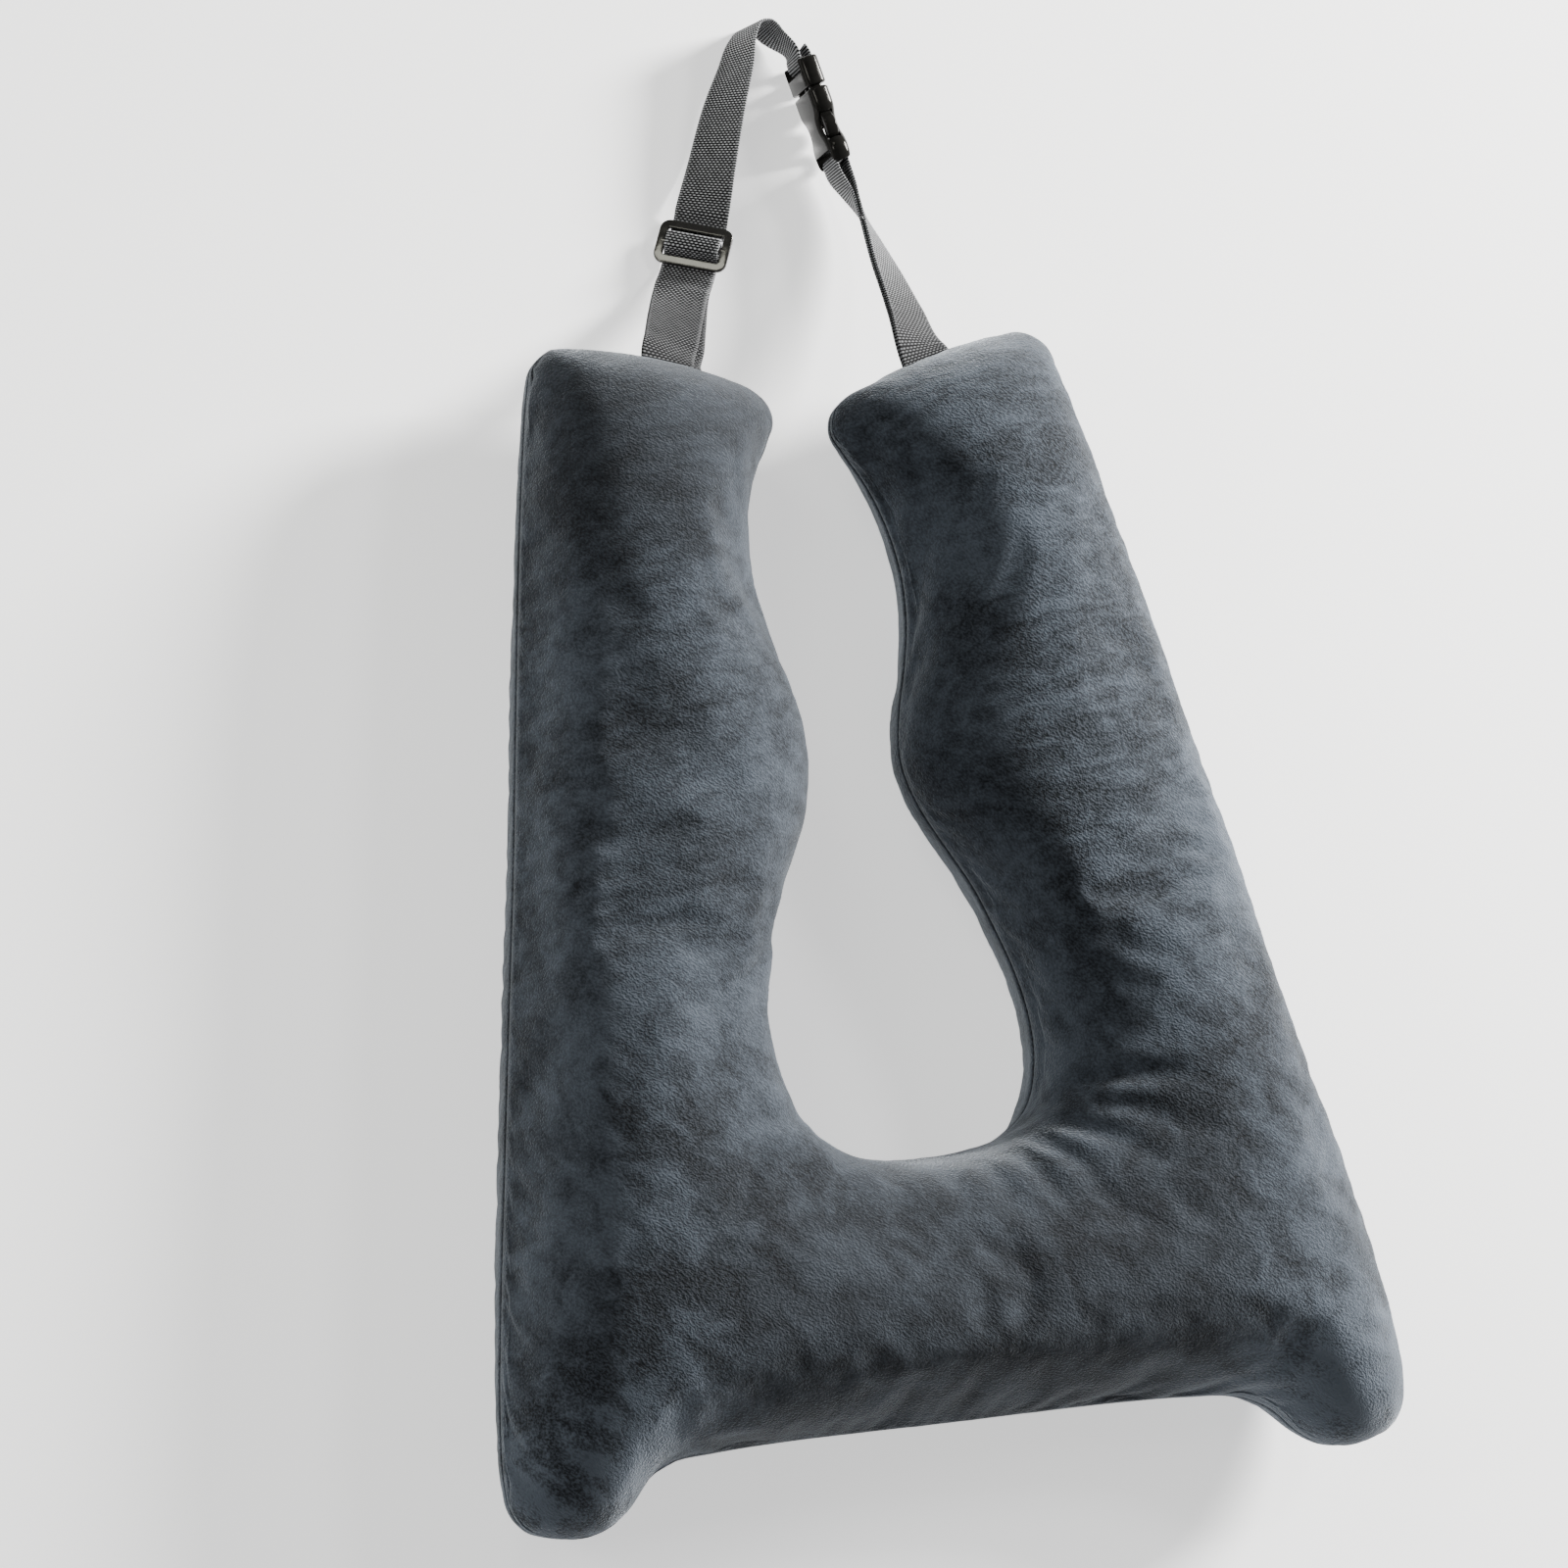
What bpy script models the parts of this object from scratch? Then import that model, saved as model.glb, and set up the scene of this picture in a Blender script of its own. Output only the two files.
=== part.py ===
"""Kids travel pillow: an A-shaped filled cushion with a buckled webbing strap.

It lies on its back. X runs across it, Y from its feet to its strap, Z up. The tables are in
millimetres from the middle of the feet's ends; the meshes are in metres, with the origin under
the middle of the whole thing, on the surface that it lies on.
"""
import math

import bmesh
import bpy
import numpy as np
from mathutils import Matrix, Vector
from mathutils.geometry import delaunay_2d_cdt

MM = 0.001

# Driving sizes of the cushion
CROWN = 50.0             # how far the filling lifts each panel from the seam at the most
SEAM_HEIGHT = 43.0       # height of the seam, with the underside pressed flat
FULL_FROM = 80.0         # half width of a panel from which the crown is full
ORIGIN_Y = 338.2         # half of the length from the feet to the strap's bend
EDGE_SPACING = 11.0      # points along a straight stretch of the seam
TURN_SPACING = 14.0      # degrees between the points in a bend of the seam
FILL_SPACING = 14.0      # points inside the panels

# Driving sizes of the webbing and its fittings
WEBBING_WIDTH = 25.0
WEBBING_THICKNESS = 1.4
GAP = 0.35               # between two pieces that touch
LAYER_STEP = WEBBING_THICKNESS + 0.5
SEAM_NOTCH = 2.2         # how far the seam is drawn in between the panels
BUCKLE_LEAN = 14.0       # degrees that the buckle leans on its side edge
BUCKLE_HEADING = -78.1   # degrees of the buckle's axis in plan, from the plug to the socket
BUCKLE_SPLIT = (45.2, 642.4, 17.3)
SLIDER_CENTRE = (-23.0, 575.0, 11.4)
SLIDER_HEADING = 65.0    # degrees of the webbing's direction in plan at the slider
SLIDER_ROLL = 32.0       # degrees that the webbing's right edge is lifted there

# Half of the seam line, from the crossbar's lower edge round the foot, up the outer side, over the
# arm's top and down into the opening: x, y
SEAM_POINTS = [
    (0, 31), (45, 31.2), (88, 31), (120, 29.8), (143, 27.4), (157, 20.8), (169, 8.6), (180, 2),
    (191, 0), (205, 2), (216, 6.5), (221.5, 16), (222, 28), (219, 55), (211, 100), (198.5, 163),
    (186, 226), (173, 290), (161, 354), (149, 418), (137.5, 475), (131, 503), (127, 515),
    (118.5, 521), (101, 519), (80, 515), (59, 509.2), (39, 502.5), (25, 497), (17, 490),
    (15.2, 481), (20, 472), (29.6, 455.6), (36.8, 435), (40, 414), (38.8, 392.5), (33.9, 371.5),
    (28.1, 351), (26, 330), (30.7, 308.5), (40.1, 289), (50.5, 270), (58.1, 250), (64.6, 230),
    (68.5, 208), (67.6, 187), (60, 167.5), (43, 155), (21.5, 150.2), (0, 149),
]

# The left arm is stuffed a little longer, and the right one bulges more into the opening
ARM_STRETCH = 2.7        # each arm's share of the difference in length
ARM_FOOT, ARM_TOP = 150.0, 420.0
BULGE_SHIFT = 2.8
BULGE_Y, BULGE_LENGTH = 326.0, 26.0
BULGE_REACH = 60.0

# Rows of points beside the seam: inset on the flat panel, inset once it is filled
RIM_ROWS = [(0.0, SEAM_NOTCH), (0.35, 0.0), (2.0, 1.3), (5.5, 4.8)]

# Main creases of the upper panel: start x, y, end x, y, half width, depth
CREASES = [
    (60, 172, 118, 165, 5.0, 3.2),
    (52, 157, 92, 137, 5.5, 2.4),
    (32, 146, 46, 116, 6.0, 1.8),
    (-62, 172, -104, 165, 5.0, 2.4),
    (-50, 157, -80, 134, 6.0, 1.8),
    (208, 44, 184, 49, 4.0, 1.6),
]

# Long webbing below the slider: x, y, z of its middle, roll in degrees
LONG_LOWER = [
    (-62.1, 512.3, 44.1, 0), (-60.7, 517.2, 43.2, 6), (-53.8, 527.5, 36.4, 18),
    (-43.8, 541, 24.6, 27), (-34.4, 554.5, 14.8, 32),
]
# Long webbing from the slider over the bend of the strap to the plug's bar, also doubled there
LONG_UPPER = [
    (-8.4, 609.3, 11.5, 50), (4.1, 640.5, 12.3, 64), (11.7, 656.2, 12.6, 73),
    (18.2, 670.8, 12.8, 84), (22.0, 675.0, 12.8, 87), (27.2, 675.2, 12.9, 88),
    (32.6, 670.2, 13.6, 87), (38.6, 662.6, 15.8, 80),
]
LAYER_SPREAD = 4.8       # how far the second layer lies to the right at the left arm

# Doubled webbing on the right, from the seam to the socket's bar: x, y, z, roll
LOOP_PATH = [
    (68.5, 509.1, 43.0, 180), (67.3, 513.6, 42.3, 173), (66.8, 534.9, 33.6, 154),
    (64.9, 558.0, 25, 140), (60.2, 584.5, 18.9, 118), (57.0, 594.5, 17.7, 108),
]

# How far the long webbing runs behind the slider's middle: along the strap, depth
THREADING = [
    (-60.0, 0.0), (-16.0, 1.6), (-11.5, 2.4), (-8.4, 2.5), (-6.0, 2.45), (-3.1, -4.25),
    (0.0, -4.6), (3.1, -4.25), (6.0, 2.45), (8.4, 2.5), (11.5, 2.4), (17.0, 0.0),
]

# Slider
SLIDER_WIDTH, SLIDER_HEIGHT, SLIDER_DEPTH = 33.4, 20.0, 2.6
SLIDER_CORNER = 4.2
SLIDER_WINDOW, SLIDER_BAR, SLIDER_MIDDLE_BAR = 26.6, 3.2, 2.6

# Side-release buckle, along its axis from the split between plug and socket
BUCKLE_WIDTH, BUCKLE_DEPTH = 33.0, 10.0
SPLIT_GAP = 1.3
PLUG_LENGTH, SOCKET_LENGTH = 13.5, 35.0
BAR_WIDTH, BAR_DEPTH = 2.4, 1.8
STRAP_SLOT, STRAP_SLOT_LENGTH = 27.0, 3.9
TURN_RADIUS = 2.65       # of the webbing round a bar, at its middle
CAVITY_WIDTH, CAVITY_DEPTH, CAVITY_LENGTH = 28.8, 6.4, 26.0
PRONG_DEPTH = 5.4
TAIL_LENGTH = 21.0

PLUSH = ("plush", (0.085, 0.105, 0.125, 1), 0.9)
WEBBING = ("webbing", (0.16, 0.17, 0.18, 1), 0.7)
GLOSS_BLACK = ("gloss_black", (0.012, 0.012, 0.012, 1), 0.18)


# Scene and materials

def clear_scene():
    for obj in list(bpy.data.objects):
        bpy.data.objects.remove(obj, do_unlink=True)


def new_collection(name):
    collection = bpy.data.collections.new(name)
    bpy.context.scene.collection.children.link(collection)
    return collection


def material(name, colour, roughness):
    mat = bpy.data.materials.get(name)
    if mat is None:
        mat = bpy.data.materials.new(name)
        mat.use_nodes = True
        shader = mat.node_tree.nodes["Principled BSDF"]
        shader.inputs["Base Color"].default_value = colour
        shader.inputs["Roughness"].default_value = roughness
        shader.inputs["Metallic"].default_value = 0.0
    return mat


def add_object(name, mesh, collection, finish=None):
    obj = bpy.data.objects.new(name, mesh)
    collection.objects.link(obj)
    if finish:
        mesh.materials.clear()
        mesh.materials.append(material(*finish))
    return obj


def mesh_from(name, points, faces):
    """A mesh from an array of points in millimetres, moved to the part's origin."""
    placed = (np.asarray(points, dtype=float) - (0.0, ORIGIN_Y, 0.0)) * MM
    mesh = bpy.data.meshes.new(name)
    mesh.from_pydata(placed.tolist(), [], faces)
    mesh.validate()
    mesh.update()
    return mesh


# Smooth curves through a table's rows

def smooth_curve(rows, samples, closed=False):
    """Points on a smooth curve through all rows, with `samples` steps between two rows.

    Each stretch is a cubic whose end slopes are averages of the chords' slopes beside it.
    """
    rows = np.asarray(rows, dtype=float)
    if closed:
        padded = np.vstack([rows[-1:], rows, rows[:2]])
    else:
        padded = np.vstack([2 * rows[0] - rows[1], rows, 2 * rows[-1] - rows[-2]])
    chords = np.diff(padded, axis=0)
    spans = np.linalg.norm(chords[:, :3], axis=1)[:, None]
    slopes = chords / spans
    tangents = (slopes[:-1] * spans[1:] + slopes[1:] * spans[:-1]) / (spans[:-1] + spans[1:])
    start, end, span = padded[1:-2, None], padded[2:-1, None], spans[1:-1, None]
    leave, arrive = tangents[:-1, None] * span, tangents[1:, None] * span
    t = (np.arange(samples) / samples)[None, :, None]
    curve = (start * (1 + 2 * t) * (1 - t) ** 2 + end * t ** 2 * (3 - 2 * t)
             + leave * t * (1 - t) ** 2 - arrive * t ** 2 * (1 - t))
    curve = curve.reshape(-1, rows.shape[1])
    return curve if closed else np.vstack([curve, rows[-1]])


def unit(vectors):
    return vectors / np.linalg.norm(vectors, axis=-1, keepdims=True)


def smoothstep(value, low, high):
    t = np.clip((value - low) / (high - low), 0.0, 1.0)
    return t * t * (3 - 2 * t)


# The cushion

def uneven(points):
    """Lengthen the left arm, shorten the right one, and shift the bulges to the right arm's."""
    x, y = points[:, 0], points[:, 1]
    side = -np.clip(x / 15.0, -1, 1)
    stretch = ARM_STRETCH * side * smoothstep(y, ARM_FOOT, ARM_TOP)
    near_opening = np.clip(1 - np.abs(x) / BULGE_REACH, 0, 1)
    bulge = -BULGE_SHIFT * near_opening * np.exp(-((y - BULGE_Y) / BULGE_LENGTH) ** 2)
    return np.column_stack([x + bulge, y + stretch])


def seam_line():
    """The closed seam line: the right half and its mirror image, sampled closer in the bends."""
    half = np.array(SEAM_POINTS, dtype=float)
    left = half[1:-1][::-1] * (-1, 1)
    fine = uneven(smooth_curve(np.vstack([half, left]), 24, closed=True))
    loop = np.vstack([fine, fine[:1]])
    steps = np.diff(loop, axis=0)
    lengths = np.linalg.norm(steps, axis=1)
    headings = np.unwrap(np.arctan2(steps[:, 1], steps[:, 0]))
    turns = np.abs(np.diff(np.append(headings, headings[0] + 2 * math.pi)))
    cost = np.concatenate([[0], np.cumsum(lengths / EDGE_SPACING
                                          + np.degrees(turns) / TURN_SPACING)])
    count = int(round(cost[-1]))
    marks = np.arange(count) * cost[-1] / count
    return np.column_stack([np.interp(marks, cost, loop[:, axis]) for axis in (0, 1)])


def inward(loop):
    """Unit normals that point into the panel, for a loop that runs counter-clockwise."""
    along = unit(np.roll(loop, -1, axis=0) - np.roll(loop, 1, axis=0))
    return np.column_stack([-along[:, 1], along[:, 0]])


def distance_to(loop, points):
    """Distance of each point to a closed loop, and whether it lies inside."""
    start, end = loop, np.roll(loop, -1, axis=0)
    edge = end - start
    offset = points[:, None, :] - start[None]
    along = np.clip((offset * edge).sum(2) / (edge ** 2).sum(1), 0, 1)
    nearest = np.linalg.norm(offset - along[..., None] * edge, axis=2).min(axis=1)
    crosses = (start[:, 1] > points[:, None, 1]) != (end[:, 1] > points[:, None, 1])
    rise = np.where(edge[:, 1] == 0, 1e-9, edge[:, 1])
    at_x = start[:, 0] + (points[:, None, 1] - start[:, 1]) * edge[:, 0] / rise
    inside = (crosses & (points[:, None, 0] < at_x)).sum(axis=1) % 2 == 1
    return nearest, inside


def crease_frame(points, crease):
    """Distance along a crease, from 0 to 1, and across it, for each point."""
    start, end = np.array(crease[0:2], float), np.array(crease[2:4], float)
    length = np.linalg.norm(end - start)
    along = (end - start) / length
    offset = points - start
    return offset @ along / length, offset @ (-along[1], along[0]), length


def filling_points(edge):
    """Points inside the panel: rows along the creases, and a hexagonal grid elsewhere."""
    rows = []
    for crease in CREASES:
        start, end = np.array(crease[0:2], float), np.array(crease[2:4], float)
        length = np.linalg.norm(end - start)
        across = np.array([-(end - start)[1], (end - start)[0]]) / length
        steps = np.linspace(0.05, 1.0, int(length / 9) + 2)[:, None]
        for shift in (-1.2, 0.0, 1.2):
            rows.append(start + (end - start) * steps + across * crease[4] * shift)
    rows = np.vstack(rows)
    row_step = FILL_SPACING * math.sqrt(3) / 2
    y, x = np.mgrid[0:48, -20:21]
    grid = np.column_stack([(x + 0.5 * (y % 2)).ravel() * FILL_SPACING, y.ravel() * row_step])
    clear = np.ones(len(grid), dtype=bool)
    for crease in CREASES:
        along, across, length = crease_frame(grid, crease)
        near = (np.abs(across) < crease[4] * 2.4) & (along > -8 / length)
        clear &= ~(near & (along < 1 + 8 / length))
    points = np.vstack([rows, grid[clear]])
    distance, inside = distance_to(edge, points)
    return points[inside & (distance > 5.0)]


def panel():
    """The flat panel: its points, triangles, the row of each rim point, and the rim's length."""
    seam = seam_line()
    normals = inward(seam)
    rings = [seam + normals * flat for flat, _ in RIM_ROWS]
    count = len(seam)
    fill = filling_points(rings[-1])
    inner = [Vector(point) for point in np.vstack([rings[-1], fill])]
    edges = [(i, (i + 1) % count) for i in range(count)]
    points, _, faces, origins, _, _ = delaunay_2d_cdt(inner, edges, [], 1, 1e-6)
    where = [source[0] for source in origins]
    first = count * (len(rings) - 1)
    triangles = [[first + where[corner] for corner in face] for face in faces]
    for row in range(len(rings) - 1):
        for i in range(count):
            j = (i + 1) % count
            a, b = row * count + i, row * count + j
            c, d = a + count, b + count
            triangles.append([a, b, d])
            triangles.append([a, d, c])
    flat = np.vstack(rings[:-1] + [np.array([point[:] for point in inner])])
    return seam, normals, flat, np.array(triangles), count


def membrane(flat, triangles, fixed):
    """Height of a film that is held at the seam and blown up: the solution of Poisson's equation."""
    corner = flat[triangles]
    count = len(flat)
    stiffness = np.zeros((count, count))
    area = np.zeros(count)
    for k in range(3):
        i, j, opposite = (triangles[:, (k + n) % 3] for n in (1, 2, 0))
        first = corner[:, (k + 1) % 3] - corner[:, k]
        second = corner[:, (k + 2) % 3] - corner[:, k]
        cross = np.abs(first[:, 0] * second[:, 1] - first[:, 1] * second[:, 0])
        weight = 0.5 * (first * second).sum(1) / np.maximum(cross, 1e-9)
        np.add.at(stiffness, (i, j), -weight)
        np.add.at(stiffness, (j, i), -weight)
        np.add.at(stiffness, (i, i), weight)
        np.add.at(stiffness, (j, j), weight)
        np.add.at(area, opposite, cross / 6)
    free = np.arange(fixed, count)
    height = np.zeros(count)
    height[free] = np.linalg.solve(stiffness[np.ix_(free, free)], area[free])
    return np.maximum(height, 0.0)


def crease_depth(points):
    depth = np.zeros(len(points))
    for crease in CREASES:
        along, across, _ = crease_frame(points, crease)
        fade = smoothstep(along, -0.12, 0.15) * (1 - smoothstep(along, 0.35, 1.05))
        depth += crease[5] * fade * np.exp(-(across / crease[4]) ** 2)
    return depth


def build_cushion(collection):
    seam, normals, flat, triangles, count = panel()
    reach = np.sqrt(2 * membrane(flat, triangles, count))
    lift = CROWN * np.sin(math.pi / 2 * np.minimum(reach / FULL_FROM, 1.0))
    filled = flat.copy()
    for row, (_, inset) in enumerate(RIM_ROWS):
        filled[row * count:(row + 1) * count] = seam + normals * inset
    upper = SEAM_HEIGHT + lift - crease_depth(flat) * smoothstep(lift, 2, 25)
    lower = np.maximum(SEAM_HEIGHT - lift, 0.0)
    top = np.column_stack([filled, upper])
    bottom = np.column_stack([filled, lower])[count:]
    under = np.where(triangles < count, triangles, triangles + len(top) - count)
    faces = np.vstack([triangles, under[:, ::-1]])
    mesh = mesh_from("cushion", np.vstack([top, bottom]), faces.tolist())
    mesh.shade_smooth()
    return add_object("cushion", mesh, collection, PLUSH)


# The webbing

def frames(path, rolls):
    """Tangents, width directions and normals along a path; the roll lifts the right-hand edge."""
    along = unit(np.gradient(path, axis=0))
    level = unit(np.cross(along, (0.0, 0.0, 1.0)))
    upward = np.cross(level, along)
    roll = np.radians(rolls)[:, None]
    width = np.cos(roll) * level + np.sin(roll) * upward
    return along, width, np.cross(along, width)


def ribbon(name, path, widths, collection):
    """A flat band with softened edges, carried along a path with given width directions."""
    along = unit(np.gradient(path, axis=0))
    widths = unit(widths - (widths * along).sum(1, keepdims=True) * along)
    depths = np.cross(along, widths)
    half, thin = WEBBING_WIDTH / 2, WEBBING_THICKNESS / 2
    edge = 0.5
    section = [(half, -thin * edge), (half, thin * edge), (half - edge, thin),
               (edge - half, thin), (-half, thin * edge), (-half, -thin * edge),
               (edge - half, -thin), (half - edge, -thin)]
    rings = [path + widths * across + depths * deep for across, deep in section]
    points = np.stack(rings, axis=1).reshape(-1, 3)
    sides, count = len(section), len(path)
    faces = []
    for i in range(count - 1):
        for k in range(sides):
            j = (k + 1) % sides
            faces.append([i * sides + k, i * sides + j, (i + 1) * sides + j, (i + 1) * sides + k])
    faces.append(list(range(sides))[::-1])
    faces.append([(count - 1) * sides + k for k in range(sides)])
    mesh = mesh_from(name, points, faces)
    work = bmesh.new()
    work.from_mesh(mesh)
    bmesh.ops.recalc_face_normals(work, faces=work.faces)
    work.to_mesh(mesh)
    work.free()
    return add_object(name, mesh, collection, WEBBING)


def direction(heading):
    return np.array([math.cos(math.radians(heading)), math.sin(math.radians(heading)), 0.0])


def buckle_axes():
    """Width, axis and depth directions of the buckle, which stands on its narrow side."""
    axis = direction(BUCKLE_HEADING)
    level = np.cross(axis, (0.0, 0.0, 1.0))
    lean = math.radians(BUCKLE_LEAN)
    width = math.cos(lean) * np.array([0, 0, 1.0]) + math.sin(lean) * level
    return width, axis, np.cross(width, axis)


def turn(centre, along, normal, depth, reach=TURN_RADIUS, steps=9):
    """A half turn round a bar, from the side that the normal points to, to the other."""
    angle = np.linspace(0, math.pi, steps)[1:-1, None]
    return centre + normal * depth * np.cos(angle) + along * reach * np.sin(angle)


def resample(path, rolls, step):
    length = np.concatenate([[0], np.cumsum(np.linalg.norm(np.diff(path, axis=0), axis=1))])
    marks = np.linspace(0, length[-1], max(int(round(length[-1] / step)), 2) + 1)
    even = np.column_stack([np.interp(marks, length, path[:, axis]) for axis in range(3)])
    return even, np.interp(marks, length, rolls), marks


def slider_axes():
    """Width and axis directions of the slider, and the one that points behind it."""
    axis = direction(SLIDER_HEADING)
    level = np.cross(axis, (0.0, 0.0, 1.0))
    roll = math.radians(SLIDER_ROLL)
    width = math.cos(roll) * level + math.sin(roll) * np.array([0, 0, 1.0])
    return width, axis, np.cross(axis, width)


def slider_path(steps):
    """Points of the straight stretch through the slider, at the given distances along it."""
    return np.array(SLIDER_CENTRE) + np.array(steps)[:, None] * slider_axes()[1]


def threaded(marks):
    """Depth of the long webbing behind the slider's middle, eased between the table's rows."""
    table = np.array(THREADING)
    index = np.clip(np.searchsorted(table[:, 0], marks) - 1, 0, len(table) - 2)
    start, end = table[index], table[index + 1]
    t = np.clip((marks - start[:, 0]) / (end[:, 0] - start[:, 0]), 0, 1)
    steep = np.abs(end[:, 1] - start[:, 1]) > 3
    eased = np.where(steep, t, 0.5 - 0.5 * np.cos(math.pi * t))
    inside = (marks >= table[0, 0]) & (marks <= table[-1, 0])
    return np.where(inside, start[:, 1] + (end[:, 1] - start[:, 1]) * eased, 0.0)


def left_line(upper=()):
    """The strap's middle line from the left seam on, made straight and flat at the slider."""
    width, _, behind = slider_axes()
    straight = slider_path([-11.5, 0.0, 11.5])
    middle = np.column_stack([straight, np.full(3, SLIDER_ROLL)])
    rows = [np.array(LONG_LOWER, float), middle] + ([np.array(upper)] if len(upper) else [])
    rows = smooth_curve(np.vstack(rows), 12)
    path, rolls, marks = resample(rows[:, :3], rows[:, 3], 0.6)
    near = (path - SLIDER_CENTRE) @ slider_axes()[1]
    level = (1 - smoothstep(np.abs(near), 12.0, 22.0))[:, None]
    path = path * (1 - level) + slider_path(near) * level
    _, widths, normals = frames(path, rolls)
    widths = unit(widths * (1 - level) + width * level)
    normals = unit(normals * (1 - level) + behind * level)
    return path, widths, normals, near, marks


def build_long(collection):
    """From the left seam, through the slider, over the bend, round the plug's bar and back."""
    width, axis, _ = buckle_axes()
    bar = np.array(BUCKLE_SPLIT) - axis * (SPLIT_GAP / 2 + PLUG_LENGTH - BAR_WIDTH / 2)
    lead = np.append(bar - axis * 5.0, 90 - BUCKLE_LEAN)
    upper = np.vstack([np.array(LONG_UPPER, float)[:-1], lead, np.append(bar, 90 - BUCKLE_LEAN)])
    path, widths, normals, near, marks = left_line(upper)
    to_bar = marks[-1] - marks
    blend = smoothstep(to_bar, 14.0, 0.0)[:, None]
    widths = unit(widths * (1 - blend) + width * blend)
    doubled = LAYER_STEP / 2 + (TURN_RADIUS - LAYER_STEP / 2) * smoothstep(to_bar, 13.0, 1.0)
    fade = smoothstep(to_bar, TAIL_LENGTH + 14, TAIL_LENGTH)
    first = path + normals * (doubled * fade + threaded(near))[:, None]
    back = to_bar <= TAIL_LENGTH
    tail = (path - normals * doubled[:, None])[back][::-1]
    around = turn(bar, axis, normals[-1], TURN_RADIUS)
    centre = np.vstack([first, around, tail])
    spread = np.vstack([widths, np.repeat(width[None], len(around), 0), widths[back][::-1]])
    keep = thin_out(centre, spread)
    return ribbon("webbing_long", centre[keep], spread[keep], collection)


def thin_out(centre, spread):
    """Drop points where the band is straight and untwisted, keeping at most 5 mm between rows."""
    keep, last = [0], 0
    along = unit(np.gradient(centre, axis=0))
    for i in range(1, len(centre) - 1):
        turned = np.degrees(np.arccos(np.clip(along[i] @ along[last], -1, 1)))
        twisted = np.degrees(np.arccos(np.clip(spread[i] @ spread[last], -1, 1)))
        far = np.linalg.norm(centre[i] - centre[last])
        if turned > 6 or twisted > 5 or far > 5:
            keep.append(i)
            last = i
    return keep + [len(centre) - 1]


def build_return(collection):
    """The second layer on the left, from the seam to a turn round the slider's middle bar."""
    path, widths, normals, near, _ = left_line()
    width, axis, behind = slider_axes()
    depth = SLIDER_DEPTH / 2 + GAP + WEBBING_THICKNESS / 2 + 0.35
    apart = 0.4 * (1 - smoothstep(near, -14, -7))
    apart += 0.9 * smoothstep(near, -73, -64) * (1 - smoothstep(near, -35, -20))
    second = threaded(near) + LAYER_STEP + apart
    over_bar = smoothstep(near, -6.5, -2.2)
    second = np.where(near < -6.5, second, (depth + LAYER_STEP) * (1 - over_bar) + depth * over_bar)
    aside = LAYER_SPREAD * (1 - smoothstep(near, -75, -12))
    centre = path + normals * second[:, None] + widths * aside[:, None]
    before = near <= -0.5
    around = turn(np.array(SLIDER_CENTRE), axis, behind, depth, 2.9)
    end = slider_path([-0.5]) - behind * depth
    centre = np.vstack([centre[before], around, end])
    spread = np.vstack([widths[before], np.repeat(width[None], len(around) + 1, 0)])
    keep = thin_out(centre, spread)
    return ribbon("webbing_return", centre[keep], spread[keep], collection)


def build_loop(collection):
    """The doubled webbing on the right: up to the socket's bar, round it and down again."""
    width, axis, _ = buckle_axes()
    bar = np.array(BUCKLE_SPLIT) + axis * (SPLIT_GAP / 2 + SOCKET_LENGTH - BAR_WIDTH / 2)
    lead = np.append(bar + axis * 5.0, 90 + BUCKLE_LEAN)
    rows = np.vstack([np.array(LOOP_PATH, float), lead, np.append(bar, 90 + BUCKLE_LEAN)])
    rows = smooth_curve(rows, 10)
    path, rolls, marks = resample(rows[:, :3], rows[:, 3], 1.5)
    to_bar = marks[-1] - marks
    _, widths, normals = frames(path, rolls)
    blend = smoothstep(to_bar, 14.0, 0.0)[:, None]
    widths = unit(widths * (1 - blend) + width * blend)
    apart = LAYER_STEP / 2 + (TURN_RADIUS - LAYER_STEP / 2) * smoothstep(to_bar, 22.0, 1.0)
    apart = apart[:, None]
    around = turn(bar, -axis, normals[-1], TURN_RADIUS)
    centre = np.vstack([path + normals * apart, around, (path - normals * apart)[::-1]])
    spread = np.vstack([widths, np.repeat(width[None], len(around), 0), widths[::-1]])
    keep = thin_out(centre, spread)
    return ribbon("webbing_loop", centre[keep], spread[keep], collection)


# Hard pieces

def rounded_outline(points, radii, steps=4):
    """A polygon with each corner replaced by an arc-like curve of its own radius."""
    points = np.array(points, float)
    outline = []
    for i, corner in enumerate(points):
        before, after = points[i - 1] - corner, points[(i + 1) % len(points)] - corner
        radius = radii[i] if hasattr(radii, "__len__") else radii
        first = corner + unit(before) * min(radius, np.linalg.norm(before) * 0.48)
        last = corner + unit(after) * min(radius, np.linalg.norm(after) * 0.48)
        for t in np.linspace(0, 1, steps + 1):
            outline.append((1 - t) ** 2 * first + 2 * t * (1 - t) * corner + t * t * last)
    return outline


def rectangle(width, height, centre_y=0.0):
    return [(width / 2, centre_y - height / 2), (width / 2, centre_y + height / 2),
            (-width / 2, centre_y + height / 2), (-width / 2, centre_y - height / 2)]


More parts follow.
